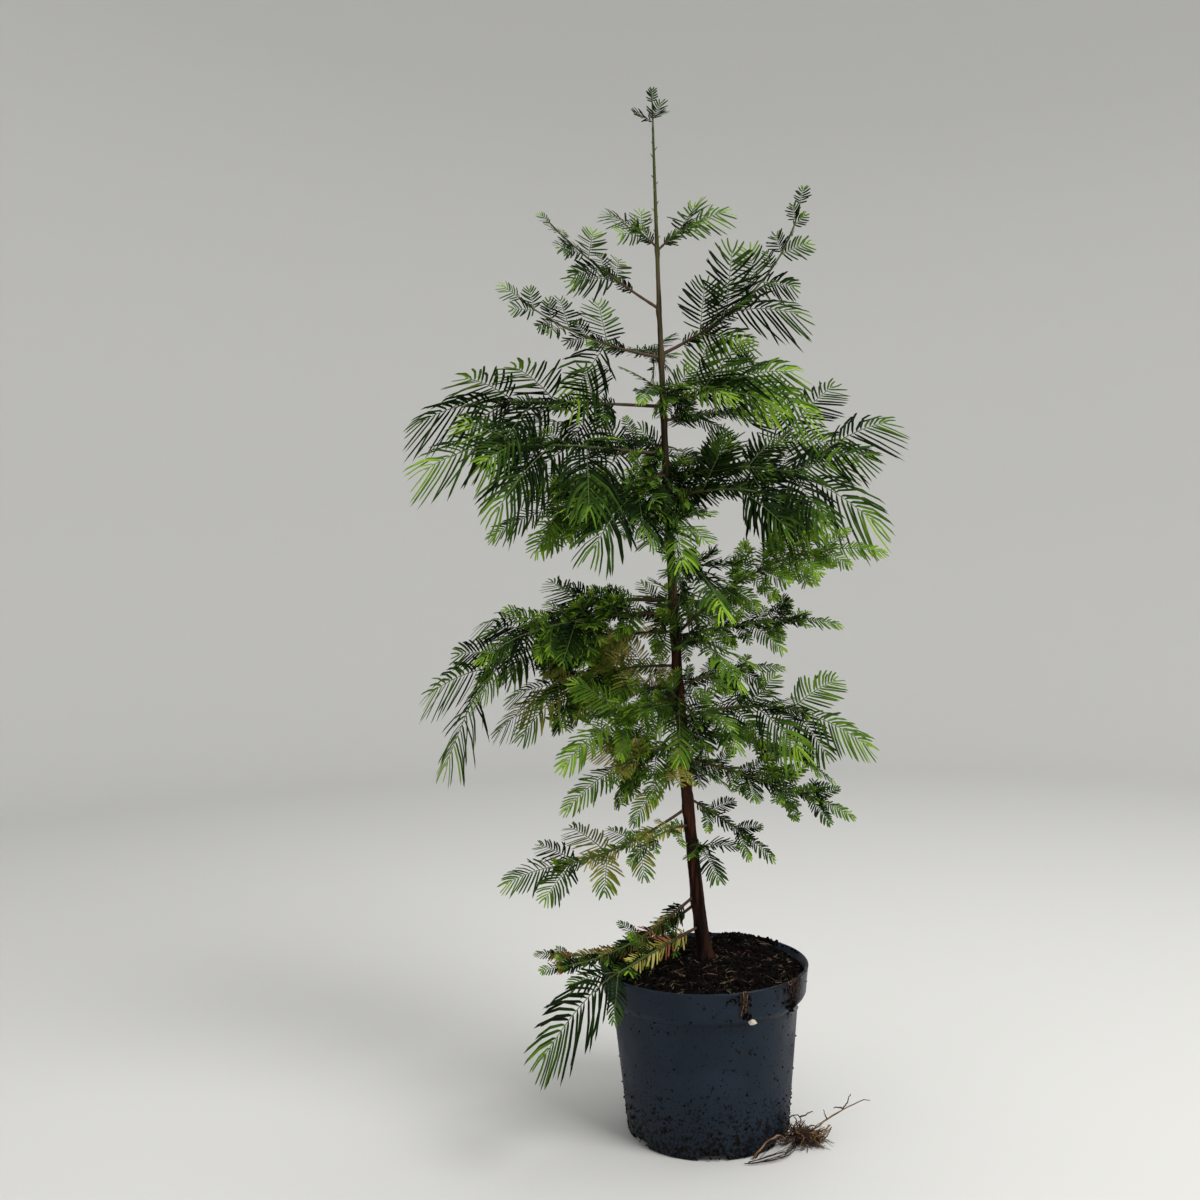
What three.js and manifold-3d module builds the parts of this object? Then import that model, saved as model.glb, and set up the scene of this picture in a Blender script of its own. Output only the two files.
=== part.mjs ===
// A young dawn redwood in its nursery pot: a pot, its soil, one leaning trunk, bare boughs and the
// masses of feathery sprays that they carry.
// Millimetres, +Z up, +X to the right, the front towards -Y. The origin is the centre of the pot's underside.

import * as THREE from "three";
import { mergeVertices } from "three/addons/utils/BufferGeometryUtils.js";
import Module from "manifold-3d";

const wasm = await Module();
wasm.setup();

// ---------------------------------------------------------------- driving dimensions

const CLEAR = 0.3; // the gap left between two solids that touch on the real plant
const FINE = 0.05; // slivers that fusing leaves are merged within this distance

const POT = {
  height: 160,
  rimRadius: 101,
  bandHeight: 25, // the upright band under the rim
  shoulderHeight: 9, // where the band steps in to the wall
  shoulderStep: 8,
  footRadius: 78,
  wall: 2,
  recess: 4, // how far the underside is raised between its centre pad and its foot ring
  padRadius: 22,
  ringWidth: 11,
  sides: 32,
};
const NOTCH = { count: 6, first: -92, width: 26, height: 6 }; // drain notches cut through the foot ring

const SOIL = { edge: 150, backEdge: 156, centre: 158, flatRadius: 32, lump: 1.4 }; // heaped at the back

const TRUNK = {
  footX: 3,
  footY: 18,
  lean: 33, // how far the top stands to the left of the foot
  leanOver: 300, // most of that lean is in this much height
  back: 10, // how far the top comes forward of the foot
  tip: 978,
  footRadius: 6.9,
  tipRadius: 1.1,
  flare: 3.2,
  flareHeight: 12,
  sides: 10,
  steps: 22,
};

const PATH_STEPS = 24; // straight steps that a bough's path is worked out in
const BEND = 1.5; // above 1, a bough keeps its first angle for longer before it bends

const SPRAY = {
  spacing: 35, // from one spray to the next along a stem, left and right by turns
  splayRoot: 66, // angle from the stem, at the stem's foot and at its tip
  splayTip: 38,
  splaySpread: 16,
  roll: 24, // how far one spray is rolled out of its bough's plane, at most
  lift: 20, // how far a spray first rises from its bough's plane, before it arches over
  swell: 0.5, // the first spray's share of the longest one's length
  swellOver: 0.4, // share of the stem over which the sprays reach their full length
  sag: 0.0038, // fall in mm for each mm along a level spray, squared
  taperBend: 0.6, // below 1, the sprays past that get shorter early rather than late
  whipTaper: 0.4, // a bough with a smaller taper is a whip, with short sprays towards its tip
  whipBend: 0.42, // taperBend and swell on a whip, whose longest sprays are at its foot
  whipSwell: 0.85,
  end: 1.1, // the end spray's length, as a share of the last side sprays'
  endOnPath: 0.85, // share of it that lies along the bough's path
  firstAt: 0.55, // where the first spray stands, in spacings
  needleShare: [0.26, 0.46], // a needle's length as a share of its spray's, on a thin and on a full bough
  thinAndFull: [40, 90], // the longest spray of such a thin and such a full bough
  longestNeedle: 40,
  sweep: 50, // angle between a needle and the spray's rib, in degrees
  ribHalf: 1.4,
  thickness: 1.7,
  pairPitch: 22, // one pair of broad teeth stands for this much of a spray
  mostPairs: 4,
};
const STEM = { rootRadius: 1.9, tipRadius: 1.0, sides: 3, steps: 5 };

// One row for each bough: name, height on the trunk, compass bearing (0 right, 90 back, 180 left, 270 front),
// reach along its path, angle above the level at its root and at its tip, bare share of its reach, length of
// its longest spray, the last sprays' share of that length, and how far the plane of its sprays is rolled
// about it (0 level, positive where the sprays on its right-hand side are raised).
// A bare share makes a bough of its own; without one the stem of the foliage starts at the trunk.
const BOUGHS = [
  ["left_1", 860, 185, 58, 50, 0, 0, 50, 0.8, 50],
  ["right_1", 857, -10, 84, 42, -12, 0, 54, 0.8, -60],
  ["left_2", 800, 172, 158, 36, 50, 0.2, 70, 0.26, 40],
  ["right_2", 755, -2, 226, 25, 84, 0.1, 92, 0.22, -70],
  ["left_3", 752, 190, 176, 10, 48, 0.2, 90, 0.32, 55],
  ["back_1", 745, 95, 130, 25, 10, 0, 66, 0.7, 10],
  ["right_3", 715, -12, 150, 22, -82, 0, 84, 1.0, -62],
  ["front_1", 712, 255, 84, 20, -70, 0, 66, 0.9, 10],
  ["right_4", 708, -25, 128, 5, 45, 0, 84, 1.0, -65],
  ["left_4", 704, 196, 246, 2, -4, 0.2, 104, 0.8, -42],
  ["right_5", 690, 35, 150, 12, 0, 0, 72, 0.8, -30],
  ["left_5", 665, 165, 78, 14, 0, 0, 44, 0.8, 50],
  ["left_6", 656, 204, 252, 6, -12, 0, 106, 0.8, 58],
  ["back_2", 645, 60, 170, 15, -10, 0, 78, 0.7, -20],
  ["right_6", 638, 6, 214, -4, 104, 0, 92, 0.9, -65],
  ["left_7", 636, 232, 112, -5, -35, 0, 54, 0.8, 40],
  ["right_7", 630, -12, 215, 14, -60, 0, 92, 0.9, -68],
  ["front_2", 625, 240, 160, -5, -55, 0, 90, 0.9, 20],
  ["right_8", 622, -5, 240, -2, 62, 0, 96, 0.85, -60],
  ["right_9", 612, -18, 160, 14, -60, 0, 84, 0.9, -60],
  ["left_8", 602, 200, 182, 8, -28, 0, 74, 0.8, 45],
  ["back_3", 600, 115, 190, 10, -15, 0, 82, 0.7, 25],
  ["front_3", 590, 272, 130, 0, -60, 0, 82, 0.8, 0],
  ["front_4", 540, 285, 150, 10, -60, 0, 84, 0.8, 20],
  ["left_9", 512, 187, 300, 6, -104, 0.26, 92, 0.95, 36],
  ["back_4", 505, 80, 200, 10, -25, 0, 80, 0.7, 0],
  ["left_10", 500, 206, 208, 2, -25, 0, 72, 0.8, 40],
  ["left_11", 482, 165, 190, 0, -30, 0, 80, 0.8, 30],
  ["right_10", 478, -20, 226, 42, -12, 0, 62, 0.75, -50],
  ["right_11", 477, 5, 168, 10, -6, 0, 56, 0.7, -35],
  ["front_5", 470, 292, 130, 10, -60, 0, 82, 0.9, 20],
  ["left_12", 448, 182, 190, 2, -50, 0, 82, 0.8, 40],
  ["right_12", 428, 5, 108, 18, -5, 0, 52, 0.7, -35],
  ["back_5", 425, 120, 180, 0, -30, 0, 72, 0.7, 15],
  ["left_13", 418, 222, 158, -5, -36, 0, 76, 0.9, 42],
  ["front_6", 415, 266, 124, 0, -55, 0, 78, 0.9, 10],
  ["right_13", 396, -12, 188, 15, -46, 0, 74, 0.9, -50],
  ["right_14", 382, 22, 188, -5, -42, 0, 54, 0.5, -35],
  ["left_14", 372, 212, 140, -8, -34, 0, 74, 0.9, 42],
  ["right_15", 358, -18, 172, -15, -22, 0, 54, 0.6, -40],
  ["left_15", 352, 236, 92, -8, -50, 0, 64, 0.9, 30],
  ["back_6", 350, 80, 160, -5, -30, 0, 64, 0.7, -10],
  ["right_16", 318, -8, 102, -32, -42, 0, 46, 0.7, -45],
  ["left_16", 308, 195, 196, -30, 12, 0.2, 62, 0.9, 45],
  ["left_17", 290, 225, 92, 4, -45, 0, 36, 0.8, 45],
  ["front_7", 272, 285, 70, 10, -70, 0, 52, 0.9, 0],
  ["left_18", 222, 205, 180, -32, 8, 0, 30, 0.7, 40],
  ["left_19", 214, 176, 178, -38, 16, 0, 28, 0.7, 30],
  ["left_20", 190, 224, 216, -8, -16, 0, 42, 2.5, 60],
].map((row) => {
  const [name, at, bearing, reach, rise, fall, bare, spray, taper, roll] = row;
  return { name, at, bearing, reach, rise, fall, bare, spray, taper, roll };
});
const BOUGH = { rootRadius: 1.5, radiusPerReach: 0.0042, sides: 5, steps: 5 };

const LEADER = {
  height: 41,
  shoots: 3,
  shootLength: 22,
  shootBearing: 175, // of the first shoot, with the others evenly round
  shootRise: 34,
  firstShoot: 5, // height of the first shoot above the trunk's tip, and from one to the next
  nextShoot: 2,
  tuft: 17,
  needleShare: 0.43,
};

const ROOTS = {
  bearing: -27, // of the clump, beside the drain notch that they come out of
  clump: [16, 11, 7],
  clumpOut: 24, // from the pot's foot to the clump's middle
  strands: 6,
  strandLength: 58,
  strandRadius: 1.0,
  strandBearings: [-70, 50], // of the first and the last strand, from the clump's
  risingStrand: 4, // this one stands up, and rises by this much of its length
  rise: 0.75,
  huggers: 3, // roots that run round the pot's foot into the clump
  hugTurn: 42, // how far round they run, in degrees
  hugOut: 5, // from the foot to the first of them, and from one to the next
  hugArch: 13, // how high the first of them arches
  floorGap: 0.6,
};

const COLOURS = {
  pot: [0x2c3947, 0.5],
  soil: [0x1d1713, 0.95],
  bark: [0x3f2c22, 0.85],
  roots: [0x7a5b3c, 0.85],
  foliage: [0x3f6b2c, 0.6],
};

// ---------------------------------------------------------------- small helpers

const UP = new THREE.Vector3(0, 0, 1);
const radians = THREE.MathUtils.degToRad;
const mix = THREE.MathUtils.lerp;

// Seeded throws between 0 and 1.
function dice(seed) {
  let state = (seed * 7919 + 104729) >>> 0;
  return () => {
    state = (Math.imul(state, 1664525) + 1013904223) >>> 0;
    return (state >>> 8) / 0x1000000;
  };
}

// Between -half and +half.
const spread = (throwDice, half) => (throwDice() * 2 - 1) * half;

// A level direction at a bearing, tilted up by an angle.
function heading(bearing, angle) {
  const level = Math.cos(radians(angle));
  return new THREE.Vector3(
    Math.cos(radians(bearing)) * level,
    Math.sin(radians(bearing)) * level,
    Math.sin(radians(angle)),
  );
}

// A closed geometry as a manifold solid, without the triangles that merging its vertices flattens.
function solidOf(geometry) {
  const bare = geometry.index ? geometry.toNonIndexed() : geometry.clone();
  bare.deleteAttribute("normal");
  bare.deleteAttribute("uv");
  const merged = mergeVertices(bare, 1e-3);
  const corners = merged.index.array;
  const kept = [];
  for (let i = 0; i < corners.length; i += 3) {
    const [a, b, c] = corners.subarray(i, i + 3);
    if (a !== b && b !== c && a !== c) kept.push(a, b, c);
  }
  return new wasm.Manifold(
    new wasm.Mesh({
      numProp: 3,
      vertProperties: merged.attributes.position.array,
      triVerts: new Uint32Array(kept),
    }),
  );
}

function geometryOf(solid) {
  const { vertProperties, triVerts, numProp, numVert } = solid.getMesh();
  const places = new Float32Array(numVert * 3);
  for (let i = 0; i < numVert; i++)
    places.set(vertProperties.subarray(i * numProp, i * numProp + 3), i * 3);
  const geometry = new THREE.BufferGeometry();
  geometry.setAttribute("position", new THREE.BufferAttribute(places, 3));
  geometry.setIndex(new THREE.BufferAttribute(triVerts, 1));
  return geometry;
}

const withoutSlivers = (solid) => solid.asOriginal().simplify(FINE);

// All solids fused. Loose scraps are dropped, and with them any hollow that the fusing sealed.
function fused(solids) {
  const bodies = wasm.Manifold.union(solids).decompose();
  return withoutSlivers(bodies.reduce((best, body) => (body.volume() > best.volume() ? body : best)));
}

// Moves each vertex of a geometry by a function of its place.
function reshape(geometry, move) {
  const places = geometry.attributes.position;
  const place = new THREE.Vector3();
  for (let i = 0; i < places.count; i++) {
    move(place.fromBufferAttribute(places, i));
    places.setXYZ(i, place.x, place.y, place.z);
  }
  return geometry;
}

// A profile of [radius, height] points turned round the Z axis.
function turned(profile, sides) {
  const points = profile.map(([radius, height]) => new THREE.Vector2(radius, height));
  return new THREE.LatheGeometry(points, sides).rotateX(Math.PI / 2);
}

// A tapered tube along a route of points. side is a direction that the route stays roughly square to.
function tube(route, radiusAt, sides, side) {
  const steps = route.length - 1;
  const along = (i) =>
    route[Math.min(i + 1, steps)].clone().sub(route[Math.max(i - 1, 0)]).normalize();
  const rings = route.map((centre, i) => {
    const up = side.clone().cross(along(i)).normalize();
    return { centre, up, across: along(i).cross(up), radius: radiusAt(i / steps) };
  });
  return reshape(new THREE.CylinderGeometry(1, 1, 1, sides, steps), (place) => {
    const ring = rings[Math.round((place.y + 0.5) * steps)];
    const { x, z } = place;
    place.copy(ring.centre);
    place.addScaledVector(ring.across, x * ring.radius);
    place.addScaledVector(ring.up, z * ring.radius);
  });
}

// The points of a path between two shares of its length, evenly spaced.
function stretch(path, from, to, steps) {
  return Array.from({ length: steps + 1 }, (_, i) => pathAt(path, mix(from, to, i / steps)));
}

function pathAt(path, share) {
  const place = THREE.MathUtils.clamp(share, 0, 1) * (path.length - 1);
  const step = Math.min(Math.floor(place), path.length - 2);
  return path[step].clone().lerp(path[step + 1], place - step);
}

function directionAt(path, share) {
  const half = 0.5 / (path.length - 1);
  return pathAt(path, share + half).sub(pathAt(path, share - half)).normalize();
}

// ---------------------------------------------------------------- pot and soil

// Outer and inner radius of the pot at the foot of its shoulder.
const wallTop = POT.height - POT.bandHeight - POT.shoulderHeight;
const bandFoot = POT.height - POT.bandHeight;
const bandRadius = POT.rimRadius - 3;
const wallRadius = bandRadius - POT.shoulderStep;
const floorTop = POT.recess + POT.wall + 0.5;

function potProfile() {
  const { height, rimRadius, footRadius, wall, recess, padRadius, ringWidth } = POT;
  const ringInner = footRadius - ringWidth;
  return [
    [0, 0],
    [padRadius, 0],
    [padRadius + 2, recess],
    [ringInner - 2, recess],
    [ringInner, 0],
    [footRadius - 1.5, 0],
    [footRadius, 2],
    [wallRadius, wallTop],
    [bandRadius - 1.5, bandFoot - 3],
    [bandRadius, bandFoot],
    [rimRadius - 0.6, height - 3],
    [rimRadius, height - 1.2],
    [rimRadius - 0.8, height],
    [rimRadius - 2.6, height - 0.4],
    [bandRadius - wall, bandFoot],
    [wallRadius - wall, wallTop + 1],
    [footRadius - wall, floorTop],
    [0, floorTop],
  ];
}

function pot() {
  const shell = solidOf(turned(potProfile(), POT.sides));
  const notches = Array.from({ length: NOTCH.count }, (_, i) => {
    const block = new THREE.BoxGeometry(POT.ringWidth * 3, NOTCH.width, NOTCH.height * 2);
    block.translate(POT.footRadius, 0, 0);
    return solidOf(block.rotateZ(radians(NOTCH.first + (360 / NOTCH.count) * i)));
  });
  // Each notch opens the foot ring and stops short of the inside.
  const kept = solidOf(turned([[0, floorTop - 1], [POT.footRadius - POT.wall - 1, floorTop - 1],
    [POT.footRadius - POT.wall - 1, 20], [0, 20]], POT.sides));
  return withoutSlivers(shell.subtract(wasm.Manifold.union(notches).subtract(kept)));
}

function soil() {
  const gap = 0.6;
  const inner = POT.wall + gap;
  const profile = [
    [0, floorTop + gap],
    [POT.footRadius - inner, floorTop + gap],
    [wallRadius - inner, wallTop + 1],
    [bandRadius - inner - 0.6, bandFoot + 1],
    [bandRadius - inner + 0.4, SOIL.edge],
    [bandRadius - inner - 10, SOIL.edge + 3],
    [mix(SOIL.flatRadius, bandRadius, 0.5), SOIL.centre - 3],
    [SOIL.flatRadius, SOIL.centre],
    [0, SOIL.centre],
  ];
  // The open top is lumpy outside the flat place that the trunk stands on.
  return reshape(turned(profile, POT.sides), (place) => {
    const radius = Math.hypot(place.x, place.y);
    const turn = Math.atan2(place.y, place.x);
    if (place.z < SOIL.edge - 1 || radius < SOIL.flatRadius + 1) return;
    place.z += (SOIL.backEdge - SOIL.edge) * Math.max(0, Math.sin(turn)) * (radius / bandRadius) ** 2;
    place.z += SOIL.lump * Math.sin(5 * turn + radius * 0.3) * Math.cos(3 * turn - radius * 0.1);
  });
}

// ---------------------------------------------------------------- trunk

const trunkFoot = SOIL.centre + CLEAR;

function trunkAt(height) {
  const rise = height - SOIL.centre;
  return new THREE.Vector3(
    TRUNK.footX - TRUNK.lean * (1 - Math.exp(-rise / TRUNK.leanOver)),
    TRUNK.footY - (TRUNK.back * rise) / (TRUNK.tip - SOIL.centre),
    height,
  );
}

function trunkRadius(height) {
  const share = (height - trunkFoot) / (TRUNK.tip - trunkFoot);
  const flare = TRUNK.flare * Math.exp(-(height - trunkFoot) / TRUNK.flareHeight);
  return mix(TRUNK.footRadius, TRUNK.tipRadius, share) + flare;
}

// The trunk's steps are short at the flare and long above it.
function trunk() {
  const heights = Array.from({ length: TRUNK.steps + 1 }, (_, i) =>
    mix(trunkFoot, TRUNK.tip, (i / TRUNK.steps) ** 1.3),
  );
  const radius = (share) => trunkRadius(heights[Math.round(share * TRUNK.steps)]);
  const shape = tube(heights.map(trunkAt), radius, TRUNK.sides, new THREE.Vector3(0, 1, 0));
  return reshape(shape, (place) => {
    if (place.z < trunkFoot + 0.5) place.z = trunkFoot; // the flat cut at the ground
  });
}

// ---------------------------------------------------------------- boughs

function boughPath(bough) {
  const path = [trunkAt(bough.at)];
  for (let i = 0; i < PATH_STEPS; i++) {
    const share = ((i + 0.5) / PATH_STEPS) ** BEND;
    const step = heading(bough.bearing, mix(bough.rise, bough.fall, share));
    path.push(path[i].clone().addScaledVector(step, bough.reach / PATH_STEPS));
  }
  return path;
}

// The share of a bough's path at which a limb of that radius stands clear of the trunk.
function rootShare(bough, radius) {
  const angle = radians(bough.rise);
  const out = trunkRadius(bough.at) + CLEAR + radius * Math.abs(Math.sin(angle));
  return out / Math.cos(angle) / bough.reach;
}

const levelSide = (bearing) => heading(bearing - 90, 0);

function boughLimb(bough, path) {
  const root = BOUGH.rootRadius + bough.reach * BOUGH.radiusPerReach;
  const radiusAt = (share) => mix(root, STEM.rootRadius, share);
  const route = stretch(path, rootShare(bough, root), bough.bare, BOUGH.steps);
  return tube(route, radiusAt, BOUGH.sides, levelSide(bough.bearing));
}

// ---------------------------------------------------------------- sprays

// A spray of needles as a saw-toothed blade along +X, each tooth thin at its point.
function blade(length, needle) {
  const pairs = THREE.MathUtils.clamp(Math.round(length / SPRAY.pairPitch), 2, SPRAY.mostPairs);
  const pitch = length / (pairs + 0.7);
  const side = [[-STEM.rootRadius, SPRAY.ribHalf]];
  for (let i = 0; i < pairs; i++) {
    const foot = pitch * (i + 0.2);
    const reach = needle * Math.sin(Math.PI * mix(0.3, 0.84, i / (pairs - 1)));
    side.push([foot, SPRAY.ribHalf]);
    side.push([
      foot + pitch * 0.4 + reach * Math.cos(radians(SPRAY.sweep)),
      SPRAY.ribHalf + reach * Math.sin(radians(SPRAY.sweep)),
    ]);
  }
  side.push([pitch * (pairs + 0.2), SPRAY.ribHalf]);
  const other = side.map(([x, y]) => [x, -y]).reverse();
  const outline = [...side, [length, 0], ...other].map(([x, y]) => new THREE.Vector2(x, y));
  const flat = new THREE.ExtrudeGeometry(new THREE.Shape(outline), {
    depth: SPRAY.thickness,
    bevelEnabled: false,
  });
  return reshape(flat.translate(0, 0, -SPRAY.thickness / 2), (place) => {
    const tooth = Math.abs(place.y) > SPRAY.ribHalf + 0.01 || place.x > length - 0.01;
    if (tooth) place.z = 0;
  });
}

// A blade set with its root at a place, its rib along a direction and its face across a normal. It arches
// over.
function spray(place, direction, normal, length, needle) {
  const across = normal.clone().cross(direction).normalize();
  const face = direction.clone().cross(across).normalize();
  const set = new THREE.Matrix4().makeBasis(direction, across, face).setPosition(place);
  const sag = SPRAY.sag * Math.hypot(direction.x, direction.y); // a hanging spray has no more to fall
  return reshape(blade(length, needle).applyMatrix4(set), (point) => {
    const out = Math.max(0, point.clone().sub(place).dot(direction));
    point.z -= sag * out * out;
  });
}

// Where the sprays of a bough stand: share of the path, side, length, splay, roll and lift. The one at its
// end is the longest where the taper is above 1. The seed is the bough's own height and bearing, so a bough
// keeps its sprays when its neighbours change.
function spraySites(bough, firstShare) {
  const throwDice = dice(bough.at * 400 + bough.bearing);
  const whip = bough.taper < SPRAY.whipTaper;
  const bend = whip ? SPRAY.whipBend : SPRAY.taperBend;
  const swell = whip ? SPRAY.whipSwell : SPRAY.swell;
  const tip = bough.spray * bough.taper * SPRAY.end;
  const last = 1 - Math.min(0.5, (tip * SPRAY.endOnPath) / bough.reach);
  const count = Math.max(1, Math.round(((last - firstShare) * bough.reach) / SPRAY.spacing));
  const end = { share: last, side: 0, length: tip, splay: 0, roll: bough.roll, lift: 0 };
  const sites = Array.from({ length: count }, (_, i) => {
    const along = (i + SPRAY.firstAt) / count;
    const size = along < SPRAY.swellOver
      ? mix(swell, 1, along / SPRAY.swellOver)
      : mix(1, Math.min(1, bough.taper), ((along - SPRAY.swellOver) / (1 - SPRAY.swellOver)) ** bend);
    return {
      share: mix(firstShare, last, along),
      side: i % 2 ? 1 : -1,
      length: bough.spray * size * (1 + spread(throwDice, 0.14)),
      splay: mix(SPRAY.splayRoot, SPRAY.splayTip, along) + spread(throwDice, SPRAY.splaySpread),
      roll: bough.roll + spread(throwDice, SPRAY.roll),
      lift: SPRAY.lift * throwDice(),
    };
  });
  return { sites, end };
}

// A bough with long sprays has needles that are long for their spray too.
function needleFor(bough, length) {
  const [thin, most] = SPRAY.thinAndFull;
  const full = THREE.MathUtils.clamp((Math.max(bough.spray, length) - thin) / (most - thin), 0, 1);
  return Math.min(SPRAY.longestNeedle, length * mix(...SPRAY.needleShare, full));
}

// The spray at one site of a bough, or at the bough's end where there is no side.
function siteSpray(bough, path, site, shrink, turn) {
  const direction = directionAt(path, site.share);
  const across = levelSide(bough.bearing);
  const up = across.clone().cross(direction).normalize();
  const lateral = across
    .multiplyScalar(Math.cos(radians(site.roll + turn)))
    .addScaledVector(up, Math.sin(radians(site.roll + turn)))
    .multiplyScalar(site.side || 1);
  const normal = direction.clone().cross(lateral).normalize();
  const out = direction
    .multiplyScalar(Math.cos(radians(site.splay)))
    .addScaledVector(lateral, Math.sin(radians(site.splay)))
    .addScaledVector(UP, Math.tan(radians(site.lift)))
    .normalize();
  const length = site.length * shrink;
  return solidOf(spray(pathAt(path, site.share), out, normal, length, needleFor(bough, length)));
}

// ---------------------------------------------------------------- foliage

// True where a solid comes within reach of any of the others.
function touches(solid, others) {
  const near = 2 * CLEAR;
  const box = solid.boundingBox();
  const apart = (other) =>
    [0, 1, 2].some((i) => box.min[i] > other.max[i] + near || other.min[i] > box.max[i] + near);
  return others.some(
    (other) => !apart(other.boundingBox()) && solid.minGap(other, near + 0.1) < near,
  );
}

// A spray that would touch something is tried shorter and rolled another way, then skipped. Each try is a
// share of its length and an angle in degrees.
const TRIES = [[1, 0], [0.9, 28], [0.9, -28], [0.72, 50], [0.72, -50], [0.6, 0]];

function firstClear(make, others) {
  for (const [shrink, turn] of TRIES) {
    const made = make(shrink, turn);
    if (!touches(made, others)) return [made];
  }
  return [];
}

// The stem of a bough's foliage, from its bough or the trunk to where its last spray starts.
function foliageStem(bough, path) {
  const root = STEM.rootRadius;
  const from = bough.bare ? bough.bare + CLEAR / bough.reach : rootShare(bough, root);
  const layout = spraySites(bough, Math.max(from, 0.1));
  const radiusAt = (share) => mix(root, STEM.tipRadius, share);
  const route = stretch(path, from, layout.end.share + 2 / bough.reach, STEM.steps);
  return { layout, solid: solidOf(tube(route, radiusAt, STEM.sides, levelSide(bough.bearing))) };
}

// The leading shoot: a green stem that goes on from the trunk's tip, with a few young sprays.
function leader() {
  const foot = trunkAt(TRUNK.tip).add(new THREE.Vector3(0, 0, CLEAR));
  const route = [0, 0.5, 0.8].map((share) =>
    foot.clone().addScaledVector(UP, LEADER.height * share),
  );
  const stem = solidOf(tube(route, () => TRUNK.tipRadius, STEM.sides, new THREE.Vector3(0, 1, 0)));
  const shoots = Array.from({ length: LEADER.shoots }, (_, i) => {
    const out = heading(LEADER.shootBearing + (360 / LEADER.shoots) * i, LEADER.shootRise);
    const root = foot.clone().addScaledVector(UP, LEADER.firstShoot + LEADER.nextShoot * i);
    const length = LEADER.shootLength;
    return solidOf(spray(root, out, UP, length, length * LEADER.needleShare));
  });
  const top = foot.clone().addScaledVector(UP, LEADER.height - LEADER.tuft);
  const tuft = spray(top, UP, new THREE.Vector3(0, -1, 0), LEADER.tuft, LEADER.tuft * LEADER.needleShare);
  return fused([stem, ...shoots, solidOf(tuft)]);
}

// ---------------------------------------------------------------- roots at the pot's foot

// A small tangle that has grown out of one drain notch and lies on the ground.
function strayRoots() {
  const out = heading(ROOTS.bearing, 0);
  const [long, wide, high] = ROOTS.clump;
  const middle = out.clone().multiplyScalar(POT.footRadius + ROOTS.clumpOut);
  middle.z = high + ROOTS.floorGap;
  const clump = new THREE.IcosahedronGeometry(1, 1).scale(long, wide, high);
  clump.rotateZ(radians(ROOTS.bearing)).translate(middle.x, middle.y, middle.z);
  const throwDice = dice(5);
  const strands = Array.from({ length: ROOTS.strands }, (_, i) => {
    const bearing = ROOTS.bearing + mix(...ROOTS.strandBearings, i / (ROOTS.strands - 1));
    const length = ROOTS.strandLength * (0.55 + 0.6 * throwDice());
    const lift = i === ROOTS.risingStrand ? ROOTS.rise : 0.05 + 0.1 * throwDice();
    const route = [0, 0.3, 0.65, 1].map((share) => {
      const point = middle.clone().addScaledVector(heading(bearing + 30 * share, 0), length * share);
      point.z = mix(ROOTS.floorGap + 3, ROOTS.floorGap + 2 + lift * length, share);
      return point;
    });
    const radiusAt = (share) => ROOTS.strandRadius * mix(1.5, 0.6, share);
    return solidOf(tube(route, radiusAt, 4, UP));
  });
  const huggers = Array.from({ length: ROOTS.huggers }, (_, i) => {
    const route = [0, 0.2, 0.4, 0.6, 0.8, 1].map((share) => {
      const point = heading(ROOTS.bearing - ROOTS.hugTurn * (1 - share), 0);
      point.multiplyScalar(POT.footRadius + ROOTS.hugOut * (i + 1));
      point.z = ROOTS.floorGap + 2 + (ROOTS.hugArch / (1 + 2 * i)) * Math.sin(Math.PI * share);
      return point;
    });
    return solidOf(tube(route, () => ROOTS.strandRadius, 4, UP));
  });
  const tangle = fused([solidOf(clump), ...strands, ...huggers]);
  return withoutSlivers(tangle.trimByPlane([0, 0, 1], ROOTS.floorGap));
}

// ---------------------------------------------------------------- the whole plant

const plant = new THREE.Group();
const hard = new THREE.Group(); // the pot, its soil, the trunk, the bare boughs and the stray roots
const crown = new THREE.Group(); // the masses of foliage
plant.add(hard, crown);

function addNode(group, name, solid, [colour, roughness]) {
  const material = new THREE.MeshStandardMaterial({ color: colour, roughness, metalness: 0 });
  const mesh = new THREE.Mesh(geometryOf(solid), material);
  mesh.name = name;
  group.add(mesh);
}

const rigid = {
  pot: [pot(), COLOURS.pot],
  soil: [solidOf(soil()), COLOURS.soil],
  trunk: [solidOf(trunk()), COLOURS.bark],
  stray_roots: [strayRoots(), COLOURS.roots],
};
const paths = new Map(BOUGHS.map((bough) => [bough.name, boughPath(bough)]));
for (const bough of BOUGHS.filter(({ bare }) => bare)) {
  rigid[`bough_${bough.name}`] = [solidOf(boughLimb(bough, paths.get(bough.name))), COLOURS.bark];
}
for (const [name, [solid, finish]] of Object.entries(rigid)) addNode(hard, name, solid, finish);

// Every stem is in place before the first spray, and every bough's end spray before the first side spray, so
// the crown keeps its full reach and no spray crosses another bough's.
const limbs = Object.values(rigid).map(([solid]) => solid);
const top = leader();
const layouts = new Map();
const masses = new Map();
for (const bough of BOUGHS) {
  const { layout, solid } = foliageStem(bough, paths.get(bough.name));
  layouts.set(bough, layout);
  masses.set(bough, [solid]);
}
const grow = (bough, site) => {
  const others = BOUGHS.filter((other) => other !== bough).flatMap((other) => masses.get(other));
  const make = (shrink, turn) => siteSpray(bough, paths.get(bough.name), site, shrink, turn);
  masses.get(bough).push(...firstClear(make, [...limbs, top, ...others]));
};
for (const bough of BOUGHS) grow(bough, layouts.get(bough).end);
for (const bough of BOUGHS) layouts.get(bough).sites.forEach((site) => grow(bough, site));
addNode(crown, "foliage_leader", top, COLOURS.foliage);
for (const [bough, solids] of masses) addNode(crown, `foliage_${bough.name}`, fused(solids), COLOURS.foliage);

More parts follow.
